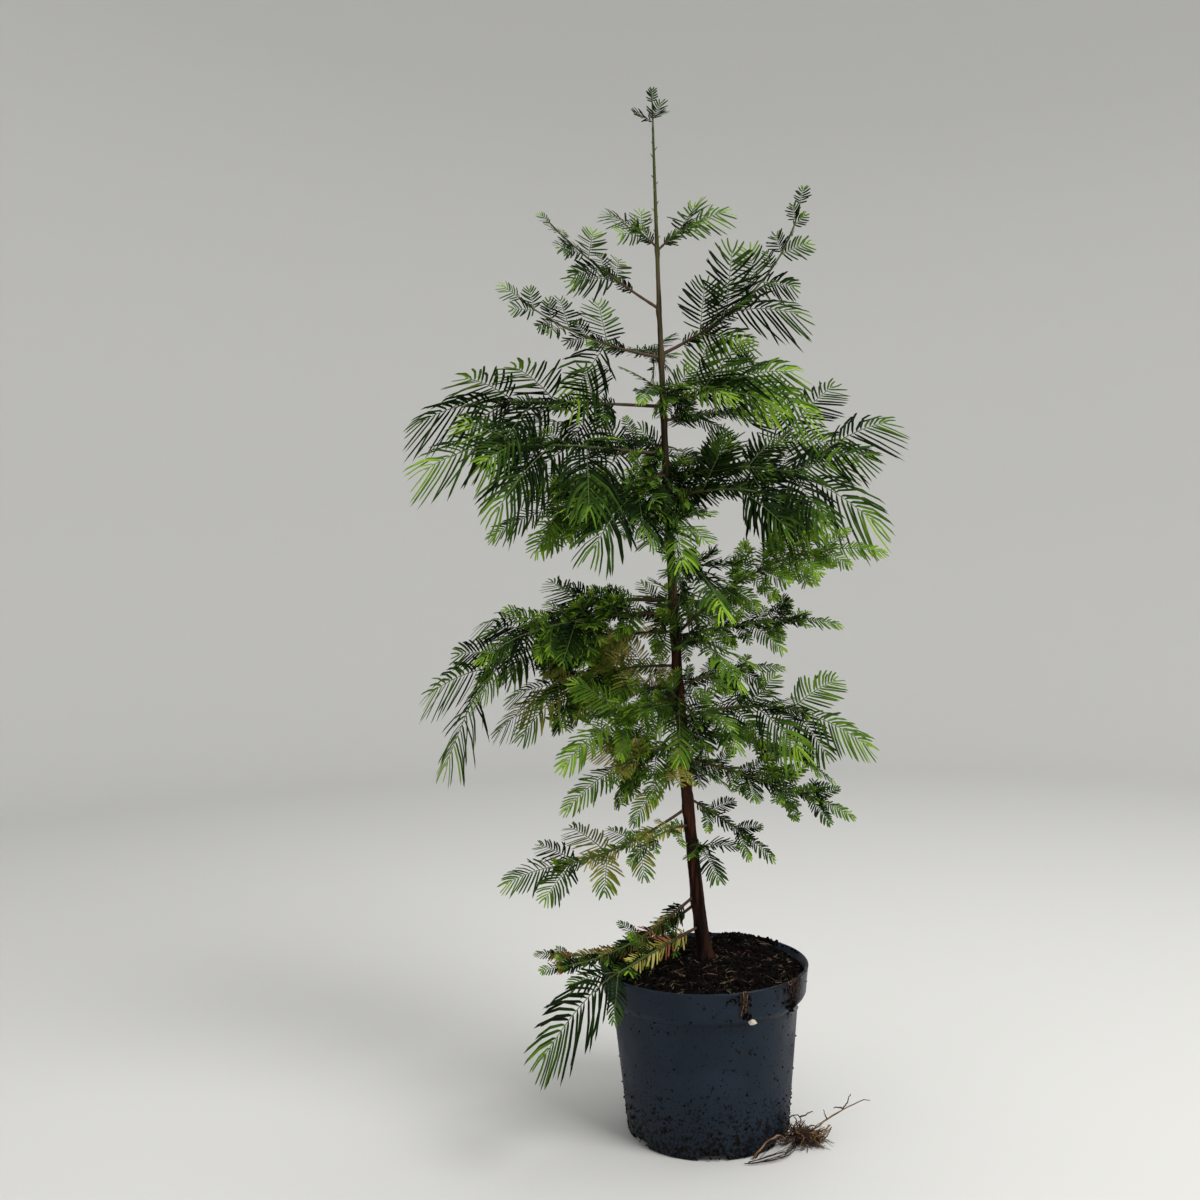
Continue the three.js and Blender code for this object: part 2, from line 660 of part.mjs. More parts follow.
export default plant;
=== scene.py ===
# %% [markdown]
# # A young dawn redwood in its nursery pot
# The plant is a metre tall: a slim leaning trunk, forty-nine boughs, and on each bough feathery sprays of
# soft flat needles. The imported model already gives every bough its place. This script keeps those places
# and dresses the plant: real bark on the limbs, a rib for each spray and a mesh for each needle, plus
# peat, a satin pot and the stray roots at its foot. The scene is in metres, +Z up, with the front towards
# -Y. Sizes of the plant are named in millimetres, as on a drawing, and become metres where a mesh is
# made.

# %% Load the imported frame and bake each part's place into its mesh
import math

import bmesh
import bpy
import numpy as np
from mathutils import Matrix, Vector, noise


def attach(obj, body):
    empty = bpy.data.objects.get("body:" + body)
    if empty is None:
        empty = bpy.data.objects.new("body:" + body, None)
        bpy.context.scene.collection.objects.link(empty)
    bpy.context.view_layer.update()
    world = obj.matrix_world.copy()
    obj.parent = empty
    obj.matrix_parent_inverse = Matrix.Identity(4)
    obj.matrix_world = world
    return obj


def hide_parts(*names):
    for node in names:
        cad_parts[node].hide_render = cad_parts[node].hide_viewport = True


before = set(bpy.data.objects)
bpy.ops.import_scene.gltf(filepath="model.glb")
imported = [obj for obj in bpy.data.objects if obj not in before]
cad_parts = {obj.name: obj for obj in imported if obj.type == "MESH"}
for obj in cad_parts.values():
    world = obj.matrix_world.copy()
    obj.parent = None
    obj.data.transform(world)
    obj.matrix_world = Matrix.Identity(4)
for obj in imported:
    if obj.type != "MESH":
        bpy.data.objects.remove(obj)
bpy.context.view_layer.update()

MM = 0.001
print("nodes in the frame:", len(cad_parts))

# %% [markdown]
# ## Camera
# The plant is seen from a little over a metre away, from half its height, with a level camera. A wide 36
# mm lens so near makes the pot look down-tilted and the top look up-tilted, which is how a plant on a
# table is seen. The camera is turned by one and a half degrees about its own line of sight.

# %% Camera
camera = bpy.data.objects.new("camera", bpy.data.cameras.new("camera"))
camera.location = (-0.092, -1.172, 0.515)
camera.rotation_euler = (math.radians(90), math.radians(1.5), 0)
camera.data.lens = 36
camera.data.sensor_width = 36
camera.data.clip_start = 0.02
bpy.context.scene.collection.objects.link(camera)
bpy.context.scene.camera = camera
print("camera:", camera.data.lens, "mm lens, at height", round(camera.location.z, 3), "m")

# %% [markdown]
# ## Studio
# A plain pale floor that curves up into a low wall all round, like a bowl, shows no corner from any side
# and leaves the top open for the light of the sky. It could be a plane and a curved backdrop, but those
# would stand between the plant and a camera that goes round it. The bowl is half a profile spun about the
# vertical axis.

# %% Studio bowl
STAGE_FLOOR, STAGE_WALL, STAGE_HEIGHT = 2.4, 3.3, 3.2


def plain_finish(name, colour, roughness):
    material = bpy.data.materials.new(name)
    material.use_nodes = True
    shader = material.node_tree.nodes["Principled BSDF"]
    shader.inputs["Base Color"].default_value = (*colour, 1)
    shader.inputs["Roughness"].default_value = roughness
    return material


def spun(profile, steps):
    """A profile of (radius, height) turned once about the Z axis, with its seam and poles merged."""
    bm = bmesh.new()
    points = [bm.verts.new((radius, 0, height)) for radius, height in profile]
    edges = [bm.edges.new(pair) for pair in zip(points, points[1:])]
    bmesh.ops.spin(bm, geom=points + edges, axis=(0, 0, 1), cent=(0, 0, 0),
                   angle=math.tau, steps=steps, use_merge=True)
    bmesh.ops.remove_doubles(bm, verts=bm.verts, dist=1e-6)
    bmesh.ops.recalc_face_normals(bm, faces=bm.faces)
    return bm


bend = STAGE_WALL - STAGE_FLOOR
curve = [(STAGE_FLOOR + bend * math.sin(a), bend - bend * math.cos(a))
         for a in np.linspace(0, math.pi / 2, 13)]
bowl = spun([(0, 0), (0.6, 0), (1.4, 0), *curve, (STAGE_WALL, STAGE_HEIGHT)], 96)
bmesh.ops.reverse_faces(bowl, faces=bowl.faces)
stage_mesh = bpy.data.meshes.new("studio_floor")
bowl.to_mesh(stage_mesh)
bowl.free()
stage_mesh.shade_smooth()
stage_mesh.materials.append(plain_finish("studio_paper", (0.66, 0.66, 0.65), 0.85))
stage = bpy.data.objects.new("studio_floor", stage_mesh)
bpy.context.scene.collection.objects.link(stage)
print("studio bowl:", len(stage_mesh.polygons), "faces")

# %% [markdown]
# The light is that of a room by day: one large window high at the right, a weaker glow from the ceiling,
# and a little that comes back from the left. Area lamps give each of them a size, and so a soft edge to
# its shadow. They all aim at the middle of the plant, under a pale even sky.

# %% Lights
LIGHTS = [  # name, place, size, power, colour
    ("window", (1.5, -1.4, 2.3), 1.3, 62, (1.0, 0.99, 0.96)),
    ("ceiling", (0.3, 0.3, 2.7), 1.8, 26, (1.0, 0.99, 0.96)),
    ("bounce", (-1.9, -1.3, 1.0), 1.3, 6, (1.0, 0.98, 0.95)),
]
for name, place, size, power, colour in LIGHTS:
    data = bpy.data.lights.new(name, "AREA")
    data.size, data.energy, data.color = size, power, colour
    lamp = bpy.data.objects.new(name, data)
    lamp.location = place
    aim = Vector((0, 0, 0.5)) - Vector(place)
    lamp.rotation_euler = aim.to_track_quat("-Z", "Y").to_euler()
    lamp.visible_camera = False
    bpy.context.scene.collection.objects.link(lamp)
world = bpy.data.worlds.new("pale_sky")
world.use_nodes = True
world.node_tree.nodes["Background"].inputs["Color"].default_value = (0.90, 0.90, 0.90, 1)
world.node_tree.nodes["Background"].inputs["Strength"].default_value = 0.45
bpy.context.scene.world = world
bpy.context.scene.view_settings.view_transform = "Standard"
print("lights:", ", ".join(f"{name} {power} W" for name, _, _, power, _ in LIGHTS))

# %% [markdown]
# ## Finishes
# Every finish is a small node tree: a Principled shader whose colour, roughness and bump follow noise on
# Object coordinates, so that a pattern keeps its real size in metres. Wiring nodes by hand takes five
# lines for each noise, so a short class does the wiring and each material can be read as a recipe.

# %% A class that wires a finish


class Finish:
    """A material that is put together as a recipe, from noise, ranges and mixtures."""

    def __init__(self, name, roughness, specular=0.5):
        self.material = bpy.data.materials.new(name)
        self.material.use_nodes = True
        self.tree = self.material.node_tree
        self.shader = self.tree.nodes["Principled BSDF"]
        self.shader.inputs["Roughness"].default_value = roughness
        self.shader.inputs["Specular IOR Level"].default_value = specular
        self.where = self.tree.nodes.new("ShaderNodeTexCoord")

    def node(self, kind, links=(), **settings):
        made = self.tree.nodes.new(kind)
        for key, value in settings.items():
            setattr(made, key, value)
        for socket, source in links:
            if hasattr(source, "is_linked"):
                self.tree.links.new(source, made.inputs[socket])
            else:
                made.inputs[socket].default_value = source
        return made

    def noise(self, scale, detail=4.0, stretch=(1, 1, 1)):
        """Noise with that many grains to the metre; stretch squeezes its place along each axis."""
        links = [("Vector", self.where.outputs["Object"]), ("Scale", stretch)]
        place = self.node("ShaderNodeMapping", links)
        links = [("Vector", place.outputs["Vector"]), ("Scale", scale), ("Detail", detail)]
        return self.node("ShaderNodeTexNoise", links).outputs["Fac"]

    def span(self, value, low, high):
        """The share of the way that a value has gone from low to high."""
        links = [("Value", value), ("From Min", low), ("From Max", high)]
        return self.node("ShaderNodeMapRange", links, clamp=True).outputs["Result"]

    def axis(self, name, low, high, coordinates="Object"):
        """The same share for a coordinate, in metres or in a UV map's units."""
        split = self.node("ShaderNodeSeparateXYZ", [("Vector", self.where.outputs[coordinates])])
        return self.span(split.outputs[name], low, high)

    def sums(self, operation, first, second):
        return self.node("ShaderNodeMath", [(0, first), (1, second)], operation=operation).outputs[0]

    def mixed(self, share, first, second):
        first, second = [(*c, 1) if isinstance(c, tuple) else c for c in (first, second)]
        made = self.node("ShaderNodeMixRGB", [("Fac", share), ("Color1", first), ("Color2", second)])
        return made.outputs["Color"]

    def colour(self, source):
        self.tree.links.new(source, self.shader.inputs["Base Color"])

    def rough(self, share, low, high):
        value = self.node("ShaderNodeMapRange", [("Value", share), ("To Min", low), ("To Max", high)])
        self.tree.links.new(value.outputs["Result"], self.shader.inputs["Roughness"])

    def bump(self, height, strength, depth):
        links = [("Height", height), ("Strength", strength), ("Distance", depth)]
        normal = self.node("ShaderNodeBump", links).outputs["Normal"]
        self.tree.links.new(normal, self.shader.inputs["Normal"])


def mottled(name, roughness, specular, tone, shades, bump):
    """A finish of two shades: tone is a noise and its range, bump a noise, a strength and a depth."""
    finish = Finish(name, roughness, specular)
    scale, detail, low, high = tone
    finish.colour(finish.mixed(finish.span(finish.noise(scale, detail), low, high), *shades))
    scale, detail, strength, depth = bump
    finish.bump(finish.noise(scale, detail), strength, depth)
    return finish.material


# %% [markdown]
# ## Pieces
# A finished piece is a mesh object at the origin that rides on the plant's one body, takes its finish as
# its one material, and stands for the plain solids that it replaces.

# %% A helper that finishes a piece


def piece(name, shape, finish, nodes=(), smooth=True):
    """A finished object from a mesh or a bmesh, which stands for the named solids."""
    if isinstance(shape, bmesh.types.BMesh):
        mesh = bpy.data.meshes.new(name)
        shape.to_mesh(mesh)
        shape.free()
    else:
        mesh = shape
    mesh.name = name
    mesh.materials.append(finish)
    mesh.polygons.foreach_set("use_smooth", [smooth] * len(mesh.polygons))
    made = bpy.data.objects.new(name, mesh)
    bpy.context.scene.collection.objects.link(made)
    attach(made, "root")
    if nodes:
        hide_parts(*nodes)
    triangles = len(mesh.loops) - 2 * len(mesh.polygons)
    print(f"{name}: {triangles} triangles, stands for {len(nodes)} solids")


# %% [markdown]
# ## Pot
# A thin-walled nursery pot is blow-moulded: a drafted wall, an upright band under the rim that stiffens
# it, a small rolled lip, and a foot with drain notches. All of that but the notches is one profile, so it
# is spun. Its corners are rounded with a bevel, which catches a line of light along the rim. Raising the
# foot's points over a short width then makes each notch, with drafted sides as a mould leaves them.

# %% Pot profile, bevel and notches
POT_HEIGHT, RIM_RADIUS, FOOT_RADIUS = 160, 101, 78
BAND_FOOT, BAND_RADIUS, WALL_TOP, WALL_RADIUS = 135, 98, 126, 90
FLOOR_TOP, WALL, RECESS = 6.5, 2, 4
PAD_RADIUS, RING_INNER = 22, 67
NOTCHES, FIRST_NOTCH, NOTCH_HALF, NOTCH_HEIGHT = 6, -92, 13, 6
FOOT_EDGE = 2.5  # the foot's points below this height are raised in a notch
POT_STEPS, ROUNDING = 240, 0.45

outside = [(0, 0), (PAD_RADIUS, 0), (PAD_RADIUS + 2, RECESS), (RING_INNER - 2, RECESS), (RING_INNER, 0),
           (FOOT_RADIUS - 1.5, 0), (FOOT_RADIUS, 2), (FOOT_RADIUS + 0.5, NOTCH_HEIGHT),
           (81, 33), (84, 63), (87, 94), (WALL_RADIUS, WALL_TOP), (BAND_RADIUS - 1.5, BAND_FOOT - 3),
           (BAND_RADIUS, BAND_FOOT), (99.2, 147), (RIM_RADIUS - 0.6, POT_HEIGHT - 3),
           (RIM_RADIUS, POT_HEIGHT - 1.2)]
inside = [(RIM_RADIUS - 0.8, POT_HEIGHT), (RIM_RADIUS - 2.6, POT_HEIGHT - 0.4),
          (BAND_RADIUS - WALL, BAND_FOOT), (WALL_RADIUS - WALL, WALL_TOP + 1),
          (FOOT_RADIUS - WALL, FLOOR_TOP), (0, FLOOR_TOP)]
pot_shape = spun([(radius * MM, height * MM) for radius, height in outside + inside], POT_STEPS)
wall_line = outside[6:]  # from the foot's edge to the rim
ROUNDED = {(RIM_RADIUS, POT_HEIGHT - 1.2), (RIM_RADIUS - 0.8, POT_HEIGHT), (BAND_RADIUS, BAND_FOOT),
           (WALL_RADIUS, WALL_TOP), (BAND_RADIUS - 1.5, BAND_FOOT - 3)}


def on_ring(edge, radius, height):
    return all(abs(math.hypot(v.co.x, v.co.y) - radius * MM) < 1e-5 and abs(v.co.z - height * MM) < 1e-5
               for v in edge.verts)


def wall_radius(height):
    """The pot's outer radius at a height, read off its profile."""
    return np.interp(height, [z for _, z in wall_line], [radius for radius, _ in wall_line])


rings = [e for e in pot_shape.edges if any(on_ring(e, *ring) for ring in ROUNDED)]
bmesh.ops.bevel(pot_shape, geom=rings, offset=ROUNDING * MM, offset_type="OFFSET", affect="EDGES",
                segments=2, profile=0.5, material=-1, clamp_overlap=True)
for vert in pot_shape.verts:
    radius = math.hypot(vert.co.x, vert.co.y) / MM
    turn = math.degrees(math.atan2(vert.co.y, vert.co.x))
    off = min(abs((turn - FIRST_NOTCH - 360 / NOTCHES * i + 180) % 360 - 180) for i in range(NOTCHES))
    if radius > RING_INNER - 1 and vert.co.z < FOOT_EDGE * MM and radius * math.radians(off) < NOTCH_HALF:
        vert.co.z = (NOTCH_HEIGHT - 0.2) * MM

# %% [markdown]
# The plastic is a slate-blue polypropylene with a satin skin. Watering has left a thin dull film on it,
# and dark peat specks that thicken towards the foot. Both are noise through a range, and they take the
# gloss off where they lie.

# %% Pot plastic
plastic = Finish("satin_pot_plastic", 0.42, 0.15)
film = plastic.span(plastic.noise(22, 5), 0.42, 0.68)
low = plastic.axis("Z", 0.075, 0.0)
fine_dirt = plastic.noise(420, 3)
blots = plastic.noise(170, 4)
dirt_line = plastic.sums("SUBTRACT", 0.66, plastic.sums("MULTIPLY", low, 0.135))
specks = plastic.sums("GREATER_THAN", fine_dirt, dirt_line)
spots = plastic.sums("GREATER_THAN", blots, plastic.sums("ADD", dirt_line, 0.005))
dirt = plastic.sums("MAXIMUM", specks, spots)
clean = plastic.mixed(film, (0.0075, 0.0140, 0.0250), (0.0120, 0.0205, 0.0345))
plastic.colour(plastic.mixed(dirt, clean, (0.0025, 0.002, 0.002)))
plastic.rough(plastic.sums("MAXIMUM", dirt, film), 0.36, 0.62)
pimples = plastic.sums("MULTIPLY", plastic.noise(900, 2), 0.25)
plastic.bump(plastic.sums("ADD", dirt, pimples), 0.25, 0.0006)
piece("pot_shell", pot_shape, plastic.material, ["pot"])

# %% [markdown]
# ## Peat
# The pot is filled nearly to the rim with dark peat, heaped a little at the back. The surface is a spun
# profile with many rings, lifted by noise at two sizes. On top lie loose crumbs and pale fibres: they are
# what makes peat look like peat, so they are real meshes, copied from one small template by arrays of
# places.

# %% Peat surface
SOIL_EDGE, SOIL_BACK, SOIL_CENTRE, SOIL_FLAT = 150, 156, 158, 32  # heights, and the flat place's radius
SOIL_RADIUS, SOIL_RINGS, SOIL_STEPS = 95.6, 34, 150
SLOPE = ((0, SOIL_CENTRE), (SOIL_FLAT, SOIL_CENTRE), (65, 155), (85.4, 153), (95.8, SOIL_EDGE))
LUMP, FLAT_EDGE = 1.4, 12  # height of the lumps, and how wide the flat place's edge is
ROUGH, ROUGH_OVER, FINE_ROUGH, FINE_OVER = 1.5, 9, 0.9, 3.4  # the noise on top, and its sizes across
HEAP_X, HEAP_Y, HEAP_HEIGHT, HEAP_SPREAD = 50, 74, 4, 900


def soil_height(x, y):
    """Height of the peat's surface in mm above the floor, at a place in mm."""
    radius, turn = math.hypot(x, y), math.atan2(y, x)
    slope = np.interp(radius, *zip(*SLOPE))
    share = np.clip((radius - SOIL_FLAT) / FLAT_EDGE, 0, 1)
    height = slope + share * (SOIL_BACK - SOIL_EDGE) * max(0, math.sin(turn)) * (radius / BAND_RADIUS) ** 2
    height += share * LUMP * math.sin(5 * turn + radius * 0.3) * math.cos(3 * turn - radius * 0.1)
    height += HEAP_HEIGHT * math.exp(-((x - HEAP_X) ** 2 + (y - HEAP_Y) ** 2) / HEAP_SPREAD)
    rough = noise.noise(Vector((x, y, 0)) / ROUGH_OVER)
    fine = noise.noise(Vector((x, y, 7)) / FINE_OVER)
    return height + (ROUGH * rough + FINE_ROUGH * fine)


def soil_under(radius, turn):
    """The same for many places, each given by its radius and its turn about the pot's axis."""
    return np.array([soil_height(r * math.cos(t), r * math.sin(t)) for r, t in zip(radius, turn)])


# The peat fills the pot: from its floor up the wall, past the band, and in over the surface.
soil_profile = [(0, 7.1), (75.4, 7.1), (87.4, 122), (94.8, 136), (95.7, 146)]
soil_profile += [(float(radius), SOIL_EDGE) for radius in np.linspace(0, SOIL_RADIUS, SOIL_RINGS)[::-1]]
soil_shape = spun([(radius * MM, height * MM) for radius, height in soil_profile], SOIL_STEPS)
for vert in soil_shape.verts:
    if vert.co.z > (SOIL_EDGE - 1) * MM:
        vert.co.z = soil_height(vert.co.x / MM, vert.co.y / MM) * MM

peat = Finish("dark_peat", 0.95, 0.08)
damp = peat.span(peat.noise(60, 6), 0.35, 0.7)
grain = peat.noise(520, 5)
crumbly = peat.mixed(grain, (0.0016, 0.0012, 0.0010), (0.0062, 0.0040, 0.0030))
peat.colour(peat.mixed(damp, (0.0015, 0.0011, 0.0009), crumbly))
peat.bump(grain, 0.9, 0.0015)
piece("peat_surface", soil_shape, peat.material, ["soil"])

# %% [markdown]
# ### Copies by arrays
# One small template is placed thousands of times: its points are an array, its places are an array, and a
# product of the two gives every copy at once. Thousands of separate objects would be slower to make and
# to draw, and they could not be exported as one piece.

# %% Templates and joined copies


def template(bm):
    """A bmesh as a pair of arrays: its points, and its faces as triangles."""
    bmesh.ops.triangulate(bm, faces=bm.faces)
    points = np.array([v.co for v in bm.verts], float)
    bm.verts.index_update()
    faces = np.array([[v.index for v in f.verts] for f in bm.faces], np.int32)
    bm.free()
    return points, faces


def mesh_of(name, points, faces):
    """One mesh of many copies. points is (copies, points, 3) in mm, and faces belong to one copy."""
    copies, count = points.shape[:2]
    corners = (faces[None] + (np.arange(copies) * count)[:, None, None]).astype(np.int32).ravel()
    mesh = bpy.data.meshes.new(name)
    mesh.vertices.add(copies * count)
    mesh.vertices.foreach_set("co", (points * MM).astype(np.float32).ravel())
    mesh.loops.add(len(corners))
    mesh.loops.foreach_set("vertex_index", corners)
    mesh.polygons.add(len(corners) // 3)
    mesh.polygons.foreach_set("loop_start", np.arange(0, len(corners), 3, dtype=np.int32))
    mesh.update(calc_edges=True)
    mesh.validate()
    return mesh


def joined_copies(name, made, finish, nodes=(), smooth=True):
    """A piece of many copies, from their points and one copy's faces."""
    piece(name, mesh_of(name, *made), finish, nodes, smooth)


def polar(radius, turn, height):
    """Places from their radius, their turn about the pot's axis, and their height."""
    return np.stack(np.broadcast_arrays(radius * np.cos(turn), radius * np.sin(turn), height), -1)


# %% [markdown]
# A crumb is a small ball of twenty faces that noise has dented. Each copy is squashed and turned its own
# way, so one dented ball is enough for thousands that all look different.

# %% Crumb template
DENT, DENTS, SQUASH = 0.45, 1.3, (0.55, 1.25)


def crumb_template(seed):
    """A small rough lump about 1 mm in radius."""
    bm = bmesh.new()
    bmesh.ops.create_icosphere(bm, subdivisions=1, radius=1)
    for vert in bm.verts:
        vert.co *= 1 + DENT * noise.noise(vert.co * DENTS + Vector((seed, 0, 0)))
    return template(bm)


def turns(rng, count):
    """That many random rotations, as 3 by 3 arrays."""
    quats = rng.normal(size=(count, 4))
    w, x, y, z = (quats / np.linalg.norm(quats, axis=1)[:, None]).T
    return np.stack([
        np.stack([1 - 2 * (y * y + z * z), 2 * (x * y - z * w), 2 * (x * z + y * w)], -1),
        np.stack([2 * (x * y + z * w), 1 - 2 * (x * x + z * z), 2 * (y * z - x * w)], -1),
        np.stack([2 * (x * z - y * w), 2 * (y * z + x * w), 1 - 2 * (x * x + y * y)], -1)], -2)


def scattered(rng, places, sizes, shape):
    """Crumbs of those sizes at those places, each squashed and turned its own way."""
    points, faces = shape
    squash = rng.uniform(*SQUASH, (len(places), 1, 3)) * sizes[:, None, None]
    turned = np.einsum("nij,nmj->nmi", turns(rng, len(places)), points[None] * squash)
    return turned + places[:, None, :], faces


print("crumb:", len(crumb_template(3)[1]), "triangles")

# %% [markdown]
# Small crumbs lie all over the peat, with a few bark chips among them. Dirt has also spilled over the
# rim, in trails at the front and the right and a low heap at the back right.

# %% Crumbs of peat on the surface and over the rim
rng = np.random.default_rng(11)
CRUMBS, CRUMBS_TO = 2600, 95.2  # how many, and out to which radius
CRUMB_STANDS, CHIP_STANDS = 0.25, 0.15  # a crumb's middle is this share of its size above the peat
CHIPS, CHIPS_TO, CHIP_SIZES = 150, 90, (1.8, 4.2)  # bark chips and lumps among them
radius = CRUMBS_TO * np.sqrt(rng.uniform(0.002, 1, CRUMBS))
turn = rng.uniform(0, math.tau, CRUMBS)
size = rng.uniform(0.7, 1.3, CRUMBS) ** 3 + 0.25
places = polar(radius, turn, soil_under(radius, turn) + size * CRUMB_STANDS)
radius, turn = CHIPS_TO * np.sqrt(rng.uniform(0.09, 1, CHIPS)), rng.uniform(0, math.tau, CHIPS)
chip = rng.uniform(*CHIP_SIZES, CHIPS)
places = np.concatenate([places, polar(radius, turn, soil_under(radius, turn) + chip * CHIP_STANDS)])
size = np.concatenate([size, chip])
SPILLS = (  # bearing, spread in degrees, count, how far it runs down, size of the largest crumbs
    (-73, 3, 60, 27, 1.6), (-79, 5, 30, 12, 1.2), (-41, 7, 130, 30, 1.7), (56, 20, 260, 5, 2.4),
    (20, 8, 60, 20, 1.4))
ON_RIM = 3  # crumbs that have fallen less than this still lie on the rim
for middle, half, count, drop, most in SPILLS:
    turn = np.radians(middle + rng.normal(0, half * 0.5, count))
    fall = rng.uniform(0, 1, count) ** 1.6 * drop
    lying = RIM_RADIUS - 2.0 + rng.uniform(-4, 1.5, count)
    radius = np.where(fall < ON_RIM, lying, RIM_RADIUS + 0.5 - fall * 0.11)
    places = np.concatenate([places, polar(radius, turn, POT_HEIGHT + 0.6 - fall)])
    size = np.concatenate([size, rng.uniform(0.5, most, count)])
crumbs = scattered(rng, places, size, crumb_template(3))
joined_copies("peat_crumbs", crumbs, peat.material, smooth=False)

# %% [markdown]
# ### Tubes along routes
# Twigs, ribs, fibres and roots are all thin tapering tubes along a curved route. One tube template is
# bent onto each route: a cone with parallel sides, cut into steps, whose points say how far along they
# are and which way off the middle line. It is closed at both ends, so every tube is a closed solid.

# %% Tube template and its copies


def tube_template(sides, steps):
    """Points (x, y across the middle line, z from 0 to 1 along it) and faces of a closed tube."""
    bm = bmesh.new()
    bmesh.ops.create_cone(bm, cap_ends=True, segments=sides, radius1=1, radius2=1, depth=1)
    bmesh.ops.translate(bm, verts=bm.verts, vec=(0, 0, 0.5))
    upright = [e for e in bm.edges if abs(e.verts[0].co.z - e.verts[1].co.z) > 0.5]
    bmesh.ops.subdivide_edges(bm, edges=upright, cuts=steps - 1)
    return template(bm)


def along_routes(shape, routes, radii):
    """A tube along each route. routes is (tubes, points, 3), and radii (tubes, points), both in mm."""
    points, faces = shape
    routes, radii = np.asarray(routes, float), np.asarray(radii, float)
    steps = routes.shape[1] - 1
    ahead = np.gradient(routes, axis=1)
    ahead /= np.linalg.norm(ahead, axis=2, keepdims=True) + 1e-12
    first = ahead[:, :1, :]
    side = np.where(np.abs(first[..., 2:]) < 0.9, [0.0, 0.0, 1.0], [1.0, 0.0, 0.0])
    across = np.cross(np.broadcast_to(side, ahead.shape), ahead)
    across /= np.linalg.norm(across, axis=2, keepdims=True) + 1e-12
    up = np.cross(ahead, across)
    ring = np.rint(points[:, 2] * steps).astype(int)
    aside = across[:, ring] * points[None, :, :1] + up[:, ring] * points[None, :, 1:2]
    return routes[:, ring] + aside * radii[:, ring, None], faces


def wandering(rng, starts, lengths, headings, steps, wander, flat=1.0):
    """Routes that wander off their headings; flat below 1 keeps them near the level."""
    routes = [starts]
    ahead = headings / np.linalg.norm(headings, axis=1, keepdims=True)
    swing = rng.normal(0, wander, starts.shape)
    for _ in range(steps):
        swing = 0.7 * swing + 0.5 * rng.normal(0, wander, starts.shape)
        ahead = ahead + swing * np.array([1, 1, flat])
        ahead /= np.linalg.norm(ahead, axis=1, keepdims=True)
        routes.append(routes[-1] + ahead * (lengths / steps)[:, None])
    return np.stack(routes, axis=1)


print("tube of 5 sides and 8 steps:", len(tube_template(5, 8)[1]), "triangles")

# %% [markdown]
# The fibres are rotted stalks and roots in the peat, some pale as straw and some rusty. They wander over
# the surface, keep inside the pot, and lift a little off the peat in the middle.

# %% Pale fibres in the peat
FIBRES, FIBRE_STEPS, FIBRE_LENGTHS = 460, 6, (4, 17)
FIBRES_TO, FIBRE_ENDS_TO = 93, 94.5  # the radius out to which fibres start, and to which they may run
FIBRE_WANDER, FIBRE_LIFTS, FIBRE_RADII = 0.22, (0.1, 1.5), (0.12, 0.42)
radius = FIBRES_TO * np.sqrt(rng.uniform(0.01, 1, FIBRES))
starts = polar(radius, rng.uniform(0, math.tau, FIBRES), 0)
headings = polar(1, rng.uniform(0, math.tau, FIBRES), 0)
lengths = rng.uniform(*FIBRE_LENGTHS, FIBRES)
routes = wandering(rng, starts, lengths, headings, FIBRE_STEPS, FIBRE_WANDER, 0)
reach = np.hypot(routes[..., 0], routes[..., 1])
routes[..., :2] *= np.minimum(1, FIBRE_ENDS_TO / np.maximum(reach, 1))[..., None]
lift = rng.uniform(*FIBRE_LIFTS, (FIBRES, 1)) * np.sin(np.linspace(0.2, 2.6, FIBRE_STEPS + 1))[None]
routes[..., 2] = [[soil_height(x, y) for x, y, _ in route] for route in routes] + (0.5 + lift)
thick = rng.uniform(*FIBRE_RADII, (FIBRES, 1)) * np.linspace(1, 0.5, FIBRE_STEPS + 1)[None]

straw = Finish("peat_fibre", 0.85, 0.3)
pale = straw.span(straw.noise(90, 2), 0.46, 0.70)
rusty = straw.mixed(straw.span(straw.noise(31, 2), 0.45, 0.6), (0.30, 0.24, 0.14), (0.26, 0.11, 0.07))
straw.colour(straw.mixed(pale, (0.014, 0.009, 0.006), rusty))
straw.bump(straw.noise(700, 3), 0.4, 0.0004)
fibres = along_routes(tube_template(4, FIBRE_STEPS), routes, thick)
joined_copies("peat_fibres", fibres, straw.material)

# %% [markdown]
# ## How the plant grows
# The plain model grows each bough by a seeded rule, and the same rule is written again here, so every
# spray starts where the solid's spray starts. One row gives a bough: its height on the trunk, compass
# bearing, reach, angle at root and tip, bare share, longest spray, last sprays' share of that, and roll
# of the sprays' plane. The last three are for the looks alone: its leaf colour, how many pairs of small
# sprays stand between each two of the plain model's (fewer than none leaves out half of the opposite
# ones), and the scale of its needles. A painter would place the sprays by hand; a rule keeps forty-nine
# boughs alike in character and different in detail.

